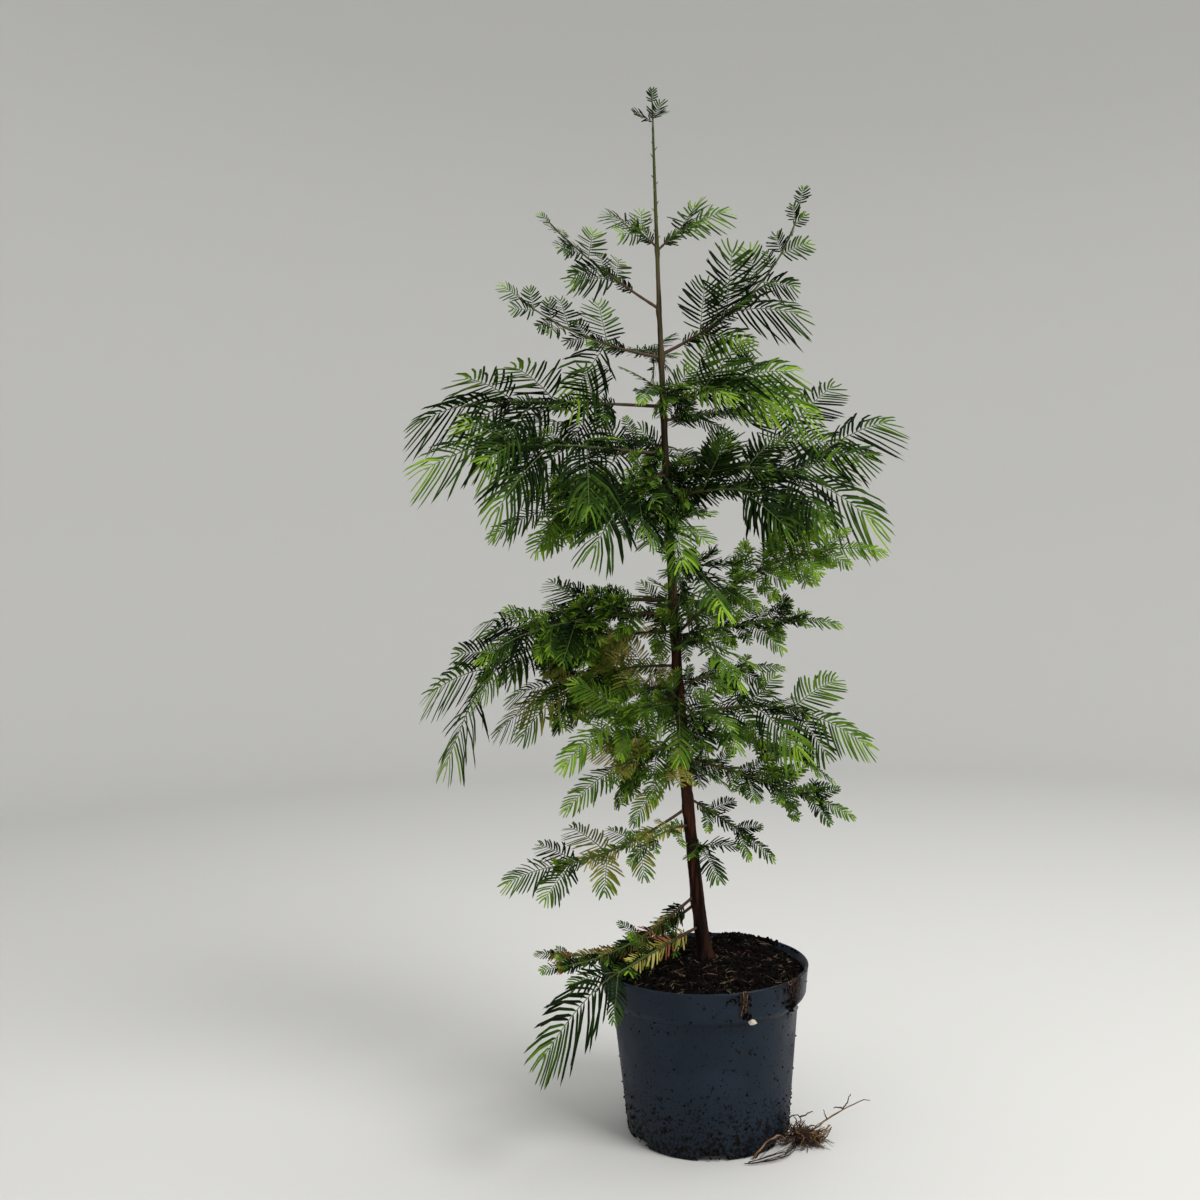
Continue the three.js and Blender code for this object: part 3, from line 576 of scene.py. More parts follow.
# %% A row for each bough
BOUGHS = [
    ("left_1", 860, 185, 58, 50, 0, 0, 50, 0.8, 50, "green", 1, 1.7),
    ("right_1", 857, -10, 84, 42, -12, 0, 54, 0.8, -60, "green", 1, 1.7),
    ("left_2", 800, 172, 158, 36, 50, 0.2, 70, 0.26, 40, "deep", 1, 1.2),
    ("right_2", 755, -2, 226, 25, 84, 0.1, 92, 0.22, -70, "deep", 1, 0.95),
    ("left_3", 752, 190, 176, 10, 48, 0.2, 90, 0.32, 55, "deep", 1, 0.95),
    ("back_1", 745, 95, 130, 25, 10, 0, 66, 0.7, 10, "deep", 1, 0.9),
    ("right_3", 715, -12, 150, 22, -82, 0, 84, 1.0, -62, "young", 1, 0.9),
    ("front_1", 712, 255, 84, 20, -70, 0, 66, 0.9, 10, "light", 3, 0.5),
    ("right_4", 708, -25, 128, 5, 45, 0, 84, 1.0, -65, "green", 1, 0.9),
    ("left_4", 704, 196, 246, 2, -4, 0.2, 104, 0.8, -42, "deep", 1, 1.0),
    ("right_5", 690, 35, 150, 12, 0, 0, 72, 0.8, -30, "green", 0, 0.8),
    ("left_5", 665, 165, 78, 14, 0, 0, 44, 0.8, 50, "deep", 3, 0.82),
    ("left_6", 656, 204, 252, 6, -12, 0, 106, 0.8, 58, "deep", 1, 1.0),
    ("back_2", 645, 60, 170, 15, -10, 0, 78, 0.7, -20, "deep", 0, 0.9),
    ("right_6", 638, 6, 214, -4, 104, 0, 92, 0.9, -65, "deep", -1, 0.8),
    ("left_7", 636, 232, 112, -5, -35, 0, 54, 0.8, 40, "light", 2, 0.6),
    ("right_7", 630, -12, 215, 14, -60, 0, 92, 0.9, -68, "deep", -1, 1.0),
    ("front_2", 625, 240, 160, -5, -55, 0, 90, 0.9, 20, "deep", 2, 0.9),
    ("right_8", 622, -5, 240, -2, 62, 0, 96, 0.85, -60, "deep", -1, 1.0),
    ("right_9", 612, -18, 160, 14, -60, 0, 84, 0.9, -60, "deep", -1, 0.9),
    ("left_8", 602, 200, 182, 8, -28, 0, 74, 0.8, 45, "light", 3, 0.72),
    ("back_3", 600, 115, 190, 10, -15, 0, 82, 0.7, 25, "green", 1, 0.9),
    ("front_3", 590, 272, 130, 0, -60, 0, 82, 0.8, 0, "green", 3, 0.8),
    ("front_4", 540, 285, 150, 10, -60, 0, 84, 0.8, 20, "deep", 3, 0.8),
    ("left_9", 512, 187, 300, 6, -104, 0.26, 92, 0.95, 36, "deep", 1, 0.85),
    ("back_4", 505, 80, 200, 10, -25, 0, 80, 0.7, 0, "green", 1, 0.9),
    ("left_10", 500, 206, 208, 2, -25, 0, 72, 0.8, 40, "green", 3, 0.75),
    ("left_11", 482, 165, 190, 0, -30, 0, 80, 0.8, 30, "fading", 4, 0.8),
    ("right_10", 478, -20, 226, 42, -12, 0, 62, 0.75, -50, "young", 2, 0.72),
    ("right_11", 477, 5, 168, 10, -6, 0, 56, 0.7, -35, "green", 3, 0.82),
    ("front_5", 470, 292, 130, 10, -60, 0, 82, 0.9, 20, "green", 3, 0.66),
    ("left_12", 448, 182, 190, 2, -50, 0, 82, 0.8, 40, "fading", 4, 0.8),
    ("right_12", 428, 5, 108, 18, -5, 0, 52, 0.7, -35, "green", 3, 0.8),
    ("back_5", 425, 120, 180, 0, -30, 0, 72, 0.7, 15, "green", 1, 0.8),
    ("left_13", 418, 222, 158, -5, -36, 0, 76, 0.9, 42, "young", 4, 0.65),
    ("front_6", 415, 266, 124, 0, -55, 0, 78, 0.9, 10, "green", 3, 0.66),
    ("right_13", 396, -12, 188, 15, -46, 0, 74, 0.9, -50, "green", 1, 0.9),
    ("right_14", 382, 22, 188, -5, -42, 0, 54, 0.5, -35, "green", 2, 0.8),
    ("left_14", 372, 212, 140, -8, -34, 0, 74, 0.9, 42, "olive", 4, 0.62),
    ("right_15", 358, -18, 172, -15, -22, 0, 54, 0.6, -40, "green", 2, 0.8),
    ("left_15", 352, 236, 92, -8, -50, 0, 64, 0.9, 30, "olive", 3, 0.62),
    ("back_6", 350, 80, 160, -5, -30, 0, 64, 0.7, -10, "green", 1, 0.8),
    ("right_16", 318, -8, 102, -32, -42, 0, 46, 0.7, -45, "deep", 0, 0.95),
    ("left_16", 308, 195, 196, -30, 12, 0.2, 62, 0.9, 45, "fading", 0, 1.0),
    ("left_17", 290, 225, 92, 4, -45, 0, 36, 0.8, 45, "fading", 0, 0.8),
    ("front_7", 272, 285, 70, 10, -70, 0, 52, 0.9, 0, "deep", 2, 1.0),
    ("left_18", 222, 205, 180, -32, 8, 0, 30, 0.7, 40, "dry", -1, 0.8),
    ("left_19", 214, 176, 178, -38, 16, 0, 28, 0.7, 30, "dry", -1, 0.8),
    ("left_20", 190, 224, 216, -8, -16, 0, 42, 2.5, 60, "dry", -1, 0.88),
]
FIELDS = "name at bearing reach rise fall bare spray taper roll tint pairs needle".split()
BOUGHS = [dict(zip(FIELDS, row)) for row in BOUGHS]
mean_reach = round(float(np.mean([bough["reach"] for bough in BOUGHS])))
print("boughs:", len(BOUGHS), "with a mean reach of", mean_reach, "mm")

# %% [markdown]
# The trunk leans to the left, most of it in the first 300 mm, and a little to the back. A bough starts in
# the middle of the trunk and keeps its bearing, while its angle to the level turns from that at the root
# to that at the tip. The dice are a plain counting rule, which gives the same throws in any program, so
# both models grow alike.

# %% Dice, trunk line and bough paths
UP = np.array([0.0, 0.0, 1.0])
TRUNK_FOOT, TRUNK_TIP, FOOT_X, FOOT_Y = 158.3, 978, 3, 18
LEAN, LEAN_OVER, LEAN_BACK = 33, 300, 10
THICKEST, THINNEST, FLARE, FLARE_OVER = 6.9, 1.1, 3.2, 12  # the trunk's radii, and the flare at its foot
PATH_STEPS, PATH_BEND = 24, 1.5


def dice(seed):
    """Seeded throws between 0 and 1."""
    state = (seed * 7919 + 104729) % 2**32

    def throw():
        nonlocal state
        state = (state * 1664525 + 1013904223) % 2**32
        return (state >> 8) / 0x1000000

    return throw


def spread(throw, half):
    return (throw() * 2 - 1) * half


def mix(first, second, share):
    return first + (second - first) * share


def unit(vector):
    return vector / np.linalg.norm(vector)


def heading(bearing, angle):
    b, a = math.radians(bearing), math.radians(angle)
    return np.array([math.cos(b) * math.cos(a), math.sin(b) * math.cos(a), math.sin(a)])


def trunk_at(height):
    """The middle of the trunk at a height."""
    rise = height - SOIL_CENTRE
    lean = LEAN * (1 - math.exp(-rise / LEAN_OVER))
    return np.array([FOOT_X - lean, FOOT_Y - LEAN_BACK * rise / (TRUNK_TIP - SOIL_CENTRE), height])


def trunk_radius(height):
    share = (height - TRUNK_FOOT) / (TRUNK_TIP - TRUNK_FOOT)
    return mix(THICKEST, THINNEST, share) + FLARE * math.exp(-(height - TRUNK_FOOT) / FLARE_OVER)


def bough_path(bough):
    """Places along a bough, which turns from its angle at the root to the one at the tip."""
    path = [trunk_at(bough["at"])]
    for i in range(PATH_STEPS):
        share = ((i + 0.5) / PATH_STEPS) ** PATH_BEND
        step = heading(bough["bearing"], mix(bough["rise"], bough["fall"], share))
        path.append(path[-1] + step * bough["reach"] / PATH_STEPS)
    return np.array(path)


def path_at(path, share):
    place = np.clip(share, 0, 1) * (len(path) - 1)
    step = np.minimum(np.floor(place).astype(int), len(path) - 2)
    return path[step] + (path[step + 1] - path[step]) * np.expand_dims(place - step, -1)


def direction_at(path, share):
    half = 0.5 / (len(path) - 1)
    return unit(path_at(path, share + half) - path_at(path, share - half))


paths = {bough["name"]: bough_path(bough) for bough in BOUGHS}
lowest = min(path[-1][2] for path in paths.values())
print("lowest bough tip:", round(float(lowest)), "mm above the floor")

# %% [markdown]
# Sprays stand on alternate sides of a bough at even distances. They are longest at four tenths of it and
# get shorter towards the tip, where one more goes straight on. A whip is a bough that tapers early and is
# nearly bare towards its tip.

# %% Where the sprays stand
SPACING, GAP = 35, 0.3  # GAP is the room that the plain model leaves between two of its solids
SWELL, SWELL_OVER, TAPER_BEND = 0.5, 0.4, 0.6  # the size at the root, and where the longest spray stands
WHIP_TAPER, WHIP_SWELL, WHIP_BEND = 0.4, 0.85, 0.42  # a bough with a smaller taper is a whip
END_SIZE, END_INSIDE = 1.1, 0.85  # the end spray's size, and how much of it is within the reach
FIRST_AT = 0.55  # how far along its own stretch of the bough a spray stands
SPLAY_ROOT, SPLAY_TIP = 66, 38
SIZE_SPREAD, SPLAY_SPREAD, ROLL_SPREAD, MOST_LIFT = 0.14, 16, 24, 20


def root_share(bough, radius):
    """The share of a bough's reach at which a stem of that radius has left the trunk."""
    angle = math.radians(bough["rise"])
    out = trunk_radius(bough["at"]) + GAP + radius * abs(math.sin(angle))
    return out / math.cos(angle) / bough["reach"]


def spray_sites(bough, first):
    """Where the sprays of a bough stand, with the same throws of the dice as in the plain model."""
    throw = dice(bough["at"] * 400 + bough["bearing"])
    whip = bough["taper"] < WHIP_TAPER
    bend, swell = (WHIP_BEND, WHIP_SWELL) if whip else (TAPER_BEND, SWELL)
    tip = bough["spray"] * bough["taper"] * END_SIZE
    last = 1 - min(0.5, tip * END_INSIDE / bough["reach"])
    count = max(1, math.floor((last - first) * bough["reach"] / SPACING + 0.5))
    sites = []
    for i in range(count):
        along = (i + FIRST_AT) / count
        past = max(0, (along - SWELL_OVER) / (1 - SWELL_OVER)) ** bend
        grows = mix(swell, 1, along / SWELL_OVER)
        size = grows if along < SWELL_OVER else mix(1, min(1, bough["taper"]), past)
        sites.append({
            "share": mix(first, last, along),
            "side": 1 if i % 2 else -1,
            "length": bough["spray"] * size * (1 + spread(throw, SIZE_SPREAD)),
            "splay": mix(SPLAY_ROOT, SPLAY_TIP, along) + spread(throw, SPLAY_SPREAD),
            "roll": bough["roll"] + spread(throw, ROLL_SPREAD),
            "lift": MOST_LIFT * throw(),
        })
    return sites, last, tip


def frame_at(root, out, normal):
    """A spray's root and its three directions: along its rib, across it, and out of its face."""
    across = unit(np.cross(normal, out))
    return root, out, across, np.cross(out, across)


def spray_frame(bough, path, site):
    """The frame of a spray that stands on its bough: splayed off the stem, rolled round it and lifted."""
    direction = direction_at(path, site["share"])
    across = heading(bough["bearing"] - 90, 0)
    up = unit(np.cross(across, direction))
    roll, splay = math.radians(site["roll"]), math.radians(site["splay"])
    lateral = (across * math.cos(roll) + up * math.sin(roll)) * (site["side"] or 1)
    lifted = UP * math.tan(math.radians(site["lift"]))
    out = unit(direction * math.cos(splay) + lateral * math.sin(splay) + lifted)
    return frame_at(path_at(path, site["share"]), out, unit(np.cross(direction, lateral)))


planned = sum(len(spray_sites(bough, max(bough["bare"], 0.1))[0]) + 1 for bough in BOUGHS)
print("sprays in the plain model: about", planned)

# %% [markdown]
# ## Trunk
# A young trunk has fibrous bark that parts in long shallow strips, a flare at the foot, and a small
# swelling under each bough. The trunk is one long tube with enough rings to carry that relief in its
# shape: noise that is stretched along the trunk lifts the strips, and each bough raises a collar.

# %% Trunk with its bark's relief
TRUNK_SIDES, TRUNK_STEPS = 36, 420
STRIPS_ROUND, STRIP_LENGTH, STRIP_RISE = 3.2, 26, 0.75
GRAIN_ROUND, GRAIN_LENGTH, GRAIN_RISE = 9, 9, 0.42
OLD_LOSS = 0.28  # what the oldest bark has lost
COLLAR_BELOW, COLLAR_HALF, COLLAR_RISE = 2, (4.5, 0.01), (0.35, 0.004)  # with what each mm of reach adds
BUTTRESS, BUTTRESS_OVER = 0.16, 9  # a buttress stands out by a share of the radius


def relief(turn, around, along):
    """Noise on the trunk's skin, finer round it the larger around is."""
    return noise.noise(Vector((math.cos(turn) * around, math.sin(turn) * around, along)))


def collars(height, turn):
    """The swellings under the boughs, which are largest under the longest ones."""
    swelling = 0
    for bough in BOUGHS:
        half, rise = [first + gain * bough["reach"] for first, gain in (COLLAR_HALF, COLLAR_RISE)]
        gap = (height - bough["at"] + COLLAR_BELOW) / half
        if abs(gap) < 3:
            facing = max(0, math.cos(turn - math.radians(bough["bearing"])))
            swelling += rise * math.exp(-gap * gap) * facing ** 2
    return swelling


points, faces = tube_template(TRUNK_SIDES, TRUNK_STEPS)
trunk_points = []
for x, y, z in points:
    height = mix(TRUNK_FOOT, TRUNK_TIP, z)
    turn = math.atan2(y, x)
    age = 1 - z
    strips = relief(turn, STRIPS_ROUND, height / STRIP_LENGTH)
    grain = abs(relief(turn, GRAIN_ROUND, height / GRAIN_LENGTH + 40))
    radius = trunk_radius(height) + collars(height, turn)
    radius += (STRIP_RISE * strips + GRAIN_RISE * grain) * (0.2 + 0.95 * age) - OLD_LOSS * age
    fading = math.exp(-(height - TRUNK_FOOT) / BUTTRESS_OVER)
    radius *= 1 + BUTTRESS * math.sin(3 * turn + 1) * fading
    on_axis = x * x + y * y < 0.5
    skin = np.array([math.cos(turn), math.sin(turn), 0]) * (0 if on_axis else radius)
    trunk_points.append(trunk_at(height) + skin)
trunk_mesh = mesh_of("trunk_bark", np.array([trunk_points]), faces)

bark = Finish("fibrous_bark", 0.86, 0.1)
strip = bark.noise(210, 6, (1, 1, 0.09))
crack = bark.span(strip, 0.42, 0.56)
patch = bark.span(bark.noise(46, 4, (1, 1, 0.3)), 0.4, 0.62)
ridges = bark.mixed(patch, (0.016, 0.007, 0.005), (0.078, 0.026, 0.014))
old = bark.mixed(crack, (0.007, 0.003, 0.0025), ridges)
ridges = bark.mixed(patch, (0.045, 0.036, 0.016), (0.075, 0.060, 0.030))
young = bark.mixed(crack, (0.020, 0.014, 0.008), ridges)
green = bark.mixed(patch, (0.030, 0.052, 0.014), (0.055, 0.080, 0.022))
brown = bark.mixed(bark.axis("Z", 0.45, 0.74), old, young)
bark.colour(bark.mixed(bark.axis("Z", 0.82, 0.96), brown, green))
bark.bump(strip, 0.8, 0.0011)
piece("trunk_bark", trunk_mesh, bark.material, ["trunk"])

# %% [markdown]
# ## Boughs
# A bough leaves the trunk as thin brown wood and turns green towards its tip. Each is one tapering tube
# along its path, from inside the trunk, so that no gap shows where the two meet. Small knots and a slight
# unevenness keep it from looking like wire. Its colour follows the distance from the trunk, which a UV
# map carries: v runs from 0 at the root to 1 at the tip.

# %% Bough limbs
LIMB_SIDES, LIMB_STEPS, LIMB_TIP = 8, 40, 0.65
LIMB_ROOT, LIMB_GAIN = 0.95, 0.0028  # the radius at a root, and what each mm of reach adds to it
KNOTS, WOBBLE = 0.05, 0.09  # how uneven a limb is in thickness, and how far it strays at each step
limb_shape = tube_template(LIMB_SIDES, LIMB_STEPS)
routes, radii = [], []
wobble = np.random.default_rng(23)
for bough in BOUGHS:
    path = paths[bough["name"]]
    _, last, _ = spray_sites(bough, max(bough["bare"], 0.1))
    shares = np.linspace(0, min(1, last + 2 / bough["reach"]), LIMB_STEPS + 1)
    root = LIMB_ROOT + bough["reach"] * LIMB_GAIN
    radius = np.interp(shares, [0, 0.12, 0.5, 1], [root * 1.15, root, mix(root, 0.7, 0.6), LIMB_TIP])
    radius *= 1 + wobble.normal(0, KNOTS, len(shares))
    route = path_at(path, shares)
    drift = np.cumsum(wobble.normal(0, WOBBLE, route.shape), axis=0) * np.sin(shares * math.pi)[:, None]
    routes.append(route + drift)
    radii.append(radius)
points, faces = along_routes(limb_shape, routes, radii)


def with_length_map(mesh, shape, copies):
    """A UV map whose v says how far along its tube a point is."""
    x, y, z = shape[0].T
    places = np.tile(np.stack([np.arctan2(y, x) / math.tau + 0.5, z], -1), (copies, 1))
    corners = np.empty(len(mesh.loops), np.int32)
    mesh.loops.foreach_get("vertex_index", corners)
    layer = mesh.uv_layers.new(name="along")
    layer.data.foreach_set("uv", places[corners].astype(np.float32).ravel())
    return mesh


wood = Finish("young_wood", 0.7, 0.35)
lengthwise = wood.axis("Y", 0.18, 0.85, "UV")
rib_noise = wood.noise(240, 4)
brown = wood.mixed(rib_noise, (0.030, 0.015, 0.009), (0.095, 0.050, 0.026))
shoot = wood.mixed(rib_noise, (0.040, 0.062, 0.014), (0.085, 0.115, 0.030))
turning = wood.span(wood.sums("ADD", lengthwise, wood.noise(18, 2)), 0.62, 1.1)
wood.colour(wood.mixed(turning, brown, shoot))
wood.bump(rib_noise, 0.5, 0.0005)
limb_nodes = sorted(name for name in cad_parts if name.startswith("bough_"))
limb_mesh = with_length_map(mesh_of("bough_limbs", points, faces), limb_shape, len(BOUGHS))
piece("bough_limbs", limb_mesh, wood.material, limb_nodes)

# %% [markdown]
# ## Sprays
# A spray is a rib of 4 to 11 cm with a comb of flat needles down each side. Needles stand in
# near-opposite pairs, at a wide angle near the root and a narrow one at the tip, bent like a sickle, and
# the youngest at the tip are short and bright. The plain model has one broad-toothed blade for each
# place. Here that place gets a pair of sprays, left and right, as the real bough has. Smaller sprays and
# twigs fill the gaps between them, and the stem itself carries short needles.
#
# The needle itself is a flat blade with a raised middle line, made once from a three-sided cone that is
# cut in three places and reshaped, 22 triangles in all. Arrays then bend a copy to each place.

# %% Needle template
NEEDLE_CUTS, NEEDLE_WIDTHS, KEEL = (0, 0.1, 0.5, 0.88), (0.4, 0.9, 1.0, 0.8), 0.42


def needle_template():
    """A needle 1 wide and 1 long: x is across it, y out of its face, z along it."""
    bm = bmesh.new()
    bmesh.ops.create_cone(bm, cap_ends=True, segments=3, radius1=1, radius2=0, depth=1)
    bmesh.ops.translate(bm, verts=bm.verts, vec=(0, 0, 0.5))
    for height in NEEDLE_CUTS[1:]:
        geometry = [*bm.verts, *bm.edges, *bm.faces]
        bmesh.ops.bisect_plane(bm, geom=geometry, dist=1e-6, plane_co=(0, 0, height), plane_no=(0, 0, 1))
    for vert in bm.verts:
        reach = math.hypot(vert.co.x, vert.co.y)
        if reach > 1e-6:
            width = float(np.interp(vert.co.z, NEEDLE_CUTS, NEEDLE_WIDTHS)) / 2
            keel = vert.co.y / reach > 0.9
            vert.co.x = 0 if keel else math.copysign(width, vert.co.x)
            vert.co.y = KEEL * width if keel else 0
    bmesh.ops.recalc_face_normals(bm, faces=bm.faces)
    return template(bm)


needle_shape = needle_template()
print("needle:", len(needle_shape[1]), "triangles")

# %% [markdown]
# Each needle is described by eight numbers: where it leaves the rib, its side, length, angle, bend, lift,
# twist and width. A growing list keeps the needles of each leaf colour apart, because a colour is dealt
# out by spray: a green spray is darkest at its root, where the leaves are oldest, and goes through two
# more greens to its tip. Fading sprays go from rust or bronze near the stem to olive.

# %% Leaf colours, and the needles of one spray
SHADES = {  # the leaf colours of a spray, from its root to its tip
    "deep": ("deep", "deep", "green", "light"),
    "green": ("deep", "green", "light", "fresh"),
    "light": ("green", "light", "light", "fresh"),
    "young": ("light", "light", "fresh", "fresh"),
    "olive": ("olive", "olive", "light", "light"),
    "bronze": ("bronze", "straw", "olive", "olive"),
    "rust": ("rust", "rust", "bronze", "olive"),
}
SHADE_ENDS = (0.25, 0.62, 0.87)
SAG, NEEDLE_FALL = 0.0038, 0.006  # how a rib and a needle droop with the square of their length in mm
OUTLINE = ((0, 0.1, 0.3, 0.65, 0.88, 1), (0.45, 0.8, 1.0, 0.93, 0.66, 0.36))  # lengths down a spray
ANGLES = ((0, 0.5, 0.85, 1), (70, 58, 46, 20))  # and angles to its rib
PITCH, WIDTH, BOUNDS = (1.5, 0.085), (1.2, 0.04), (1.55, 2.5)  # with what each mm of needle adds
BEND, SICKLE, LIFT, TWIST = -9, 0.62, 8, 10  # in degrees; SICKLE is for each mm of needle
STRAY = {"foot": 0.1, "size": 0.06, "angle": 3.5, "bend": 9, "lift": 7, "twist": 13}  # how far each strays
STAGGER = 0.12  # a pair's two needles stand this share of a pitch before and behind
LAST_FOOT, COLOUR_STRAY = 0.985, 0.07
grown = {tint: [] for tint in ("deep", "green", "light", "fresh", "olive", "bronze", "straw", "rust")}
grown_on = {tint: set() for tint in grown}
growth = np.random.default_rng(5)


def level_share(out):
    """How level a direction is: a hanging spray has no more to fall."""
    return math.hypot(out[0], out[1])


def bent_needles(frame_of, rows, sag):
    """Copies of the needle in the frame of one spray, from a row of eight numbers for each."""
    root, out, across, face = frame_of
    foot, side, length, angle, bend, lift, twist, width = [column[:, None] for column in rows.T]
    x, y, z = needle_shape[0].T
    turn = angle + bend * z
    along = foot + length * (z * np.cos(angle) - 0.5 * bend * z**2 * np.sin(angle))
    aside = 0.5 + length * (z * np.sin(angle) + 0.5 * bend * z**2 * np.cos(angle))
    above = length * z * np.sin(lift)
    flat, tall = x * width, y * width
    wide = flat * np.cos(twist) - tall * np.sin(twist)
    thick = flat * np.sin(twist) + tall * np.cos(twist)
    along = along - wide * np.sin(turn)
    aside = (aside + wide * np.cos(turn)) * side
    above = above + thick
    made = root + along[..., None] * out + aside[..., None] * across + above[..., None] * face
    made[..., 2] -= sag * level_share(out) * np.maximum(0, along) ** 2 + NEEDLE_FALL * (length * z) ** 2
    return made


def deal(node, made, share, tint):
    """Put the needles of a spray in the lists of its leaf colours."""
    zone = np.searchsorted(SHADE_ENDS, share + growth.normal(0, COLOUR_STRAY, len(share)))
    for i, colour in enumerate(SHADES[tint]):
        chosen = made[zone == i]
        if len(chosen):
            grown[colour].append(chosen)
            grown_on[colour].add(node)


def grow_needles(node, frame_of, length, needle, tint, sag=SAG, first=0.05):
    """The two rows of needles of one spray. They get short and close together at its tip."""
    pitch = PITCH[0] + PITCH[1] * needle
    count = max(4, int(length * (1 - first) / pitch))
    share = np.repeat((np.arange(count) + 0.5) / count, 2)
    side = np.tile([1.0, -1.0], count)
    many = len(share)
    foot = mix(length * first, length * LAST_FOOT, share)
    foot += growth.normal(0, pitch * STRAY["foot"], many) + side * pitch * STAGGER
    size = needle * np.interp(share, *OUTLINE) * (1 + growth.normal(0, STRAY["size"], many))
    angle = np.radians(np.interp(share, *ANGLES) + growth.normal(0, STRAY["angle"], many))
    bend = np.radians(growth.normal(BEND, STRAY["bend"], many) - SICKLE * needle)
    lift = np.radians(growth.normal(LIFT, STRAY["lift"], many))
    twist = np.radians(growth.normal(0, STRAY["twist"], many)) + math.radians(TWIST) * side
    width = np.clip(WIDTH[0] + WIDTH[1] * size, *BOUNDS) * (1 + growth.normal(0, STRAY["size"], many))
    rows = np.stack([foot, side, size, angle, bend, lift, twist, width], -1)
    deal(node, bent_needles(frame_of, rows, sag), share, tint)


print("leaf colours:", ", ".join(grown))

# %% [markdown]
# A rib is a thin tube that sags as it goes out, and its needles sag with it. A twig is a spray that
# carries smaller sprays down both its sides, turned forward and a little out of its plane. How long the
# needles are follows from the length of the spray and from its bough.

# %% Ribs, sprays and twigs
RIB_ROOT, RIB_GAIN, RIB_TIP, RIB_STEPS = 0.35, 0.003, 0.3, 8
SHORTEST_NEEDLE, LONGEST_NEEDLE = 7, 42
TIP_NEEDLES = 0.5  # the last needles reach this share of a needle past the rib's end
TWIG_GAP, TWIG_BARE = 13, 0.8  # between the sprays of a twig, and the share past which it has none
TWIG_TURNS, TWIG_LIFT, TWIG_SIZES, TWIG_NEEDLE = (40, 60), 40, (0.36, 0.5), 0.8
SHORT_SPRAY, LONG_SPRAY, NEEDLE_SHARES = 40, 90, (0.26, 0.46)  # a needle's share of its spray's length
rib_routes, rib_radii = [], []


def on_rib(frame_of, steps, sag=SAG):
    """Places that many mm along a rib, which sags as it goes out."""
    root, out = frame_of[:2]
    route = root + steps[:, None] * out
    route[:, 2] -= sag * level_share(out) * steps**2
    return route


def grow_rib(route, first, last):
    rib_routes.append(route)
    rib_radii.append(np.linspace(first, last, RIB_STEPS + 1))


def grow_spray(node, frame_of, length, needle, tint, sag=SAG):
    """A spray: its rib, and the needles on it, whose tips end at its length."""
    length -= needle * TIP_NEEDLES
    route = on_rib(frame_of, np.linspace(0, length, RIB_STEPS + 1), sag)
    grow_rib(route, RIB_ROOT + length * RIB_GAIN, RIB_TIP)
    grow_needles(node, frame_of, length, needle, tint, sag)


def grow_twig(node, frame_of, length, needle, tint, throw):
    """A side twig: a spray that carries smaller sprays down both its sides."""
    _, out, across, face = frame_of
    grow_spray(node, frame_of, length, needle, tint)
    steps = np.arange(TWIG_GAP, length * TWIG_BARE, TWIG_GAP)
    for step, place in zip(steps, on_rib(frame_of, steps)):
        for side in (1, -1):
            turn = math.radians(mix(*TWIG_TURNS, throw()))
            lift = math.radians(spread(throw, TWIG_LIFT))
            aside = across * side * math.cos(lift) + face * math.sin(lift)
            ahead = out * math.cos(turn) + math.sin(turn) * aside
            small = length * mix(*TWIG_SIZES, throw()) * (1 - 0.5 * step / length)
            finer = max(SHORTEST_NEEDLE, needle * TWIG_NEEDLE)
            grow_spray(node, frame_at(place, ahead, face), small, finer, tint)


def needle_for(bough, length):
    """A bough with long sprays has needles that are long for their spray too."""
    longest = max(bough["spray"], length)
    full = float(np.clip((longest - SHORT_SPRAY) / (LONG_SPRAY - SHORT_SPRAY), 0, 1))
    needle = min(LONGEST_NEEDLE, length * mix(*NEEDLE_SHARES, full)) * bough["needle"]
    return max(SHORTEST_NEEDLE, needle)


# %% [markdown]
# A spray that would run into the pot or the trunk is cut short where it meets them, and one that would be
# left as a stub is not grown at all.

# %% Keeping sprays out of the pot and the trunk
POT_CLEAR, TRUNK_CLEAR, SHORTEST_SPRAY = 4, 5, 12
ROOT_FREE = 12  # the first stretch of a spray may be near the trunk, on the stem that carries it
KEPT_SHARE = 0.85  # of the length up to the place that is in the way


def free_length(frame_of, length):
    """How much of a spray's length is clear of the pot and the trunk."""
    steps = np.linspace(0.15, 1, 18) * length
    route = on_rib(frame_of, steps)
    from_pot = np.hypot(route[:, 0], route[:, 1])
    in_pot = (from_pot < RIM_RADIUS + POT_CLEAR) & (route[:, 2] < POT_HEIGHT + POT_CLEAR)
    middle = np.array([trunk_at(z)[:2] for z in route[:, 2]])
    from_trunk = np.hypot(*(route[:, :2] - middle).T)
    in_trunk = (from_trunk < TRUNK_CLEAR) & (route[:, 2] < TRUNK_TIP) & (steps > ROOT_FREE)
    blocked = in_pot | in_trunk
    return steps[np.argmax(blocked)] * KEPT_SHARE if blocked.any() else length


# %% [markdown]
# ### Filling a bough
# Five kinds of growth fill a bough out: the sprays opposite the plain model's, smaller ones and twigs
# between them, a tuft at the foot, a fork at the end of a very long one, and the short needles on the
# stem. Most sprays have their bough's colour and a few have a neighbour's, and far out on a bough they
# are younger and lighter.

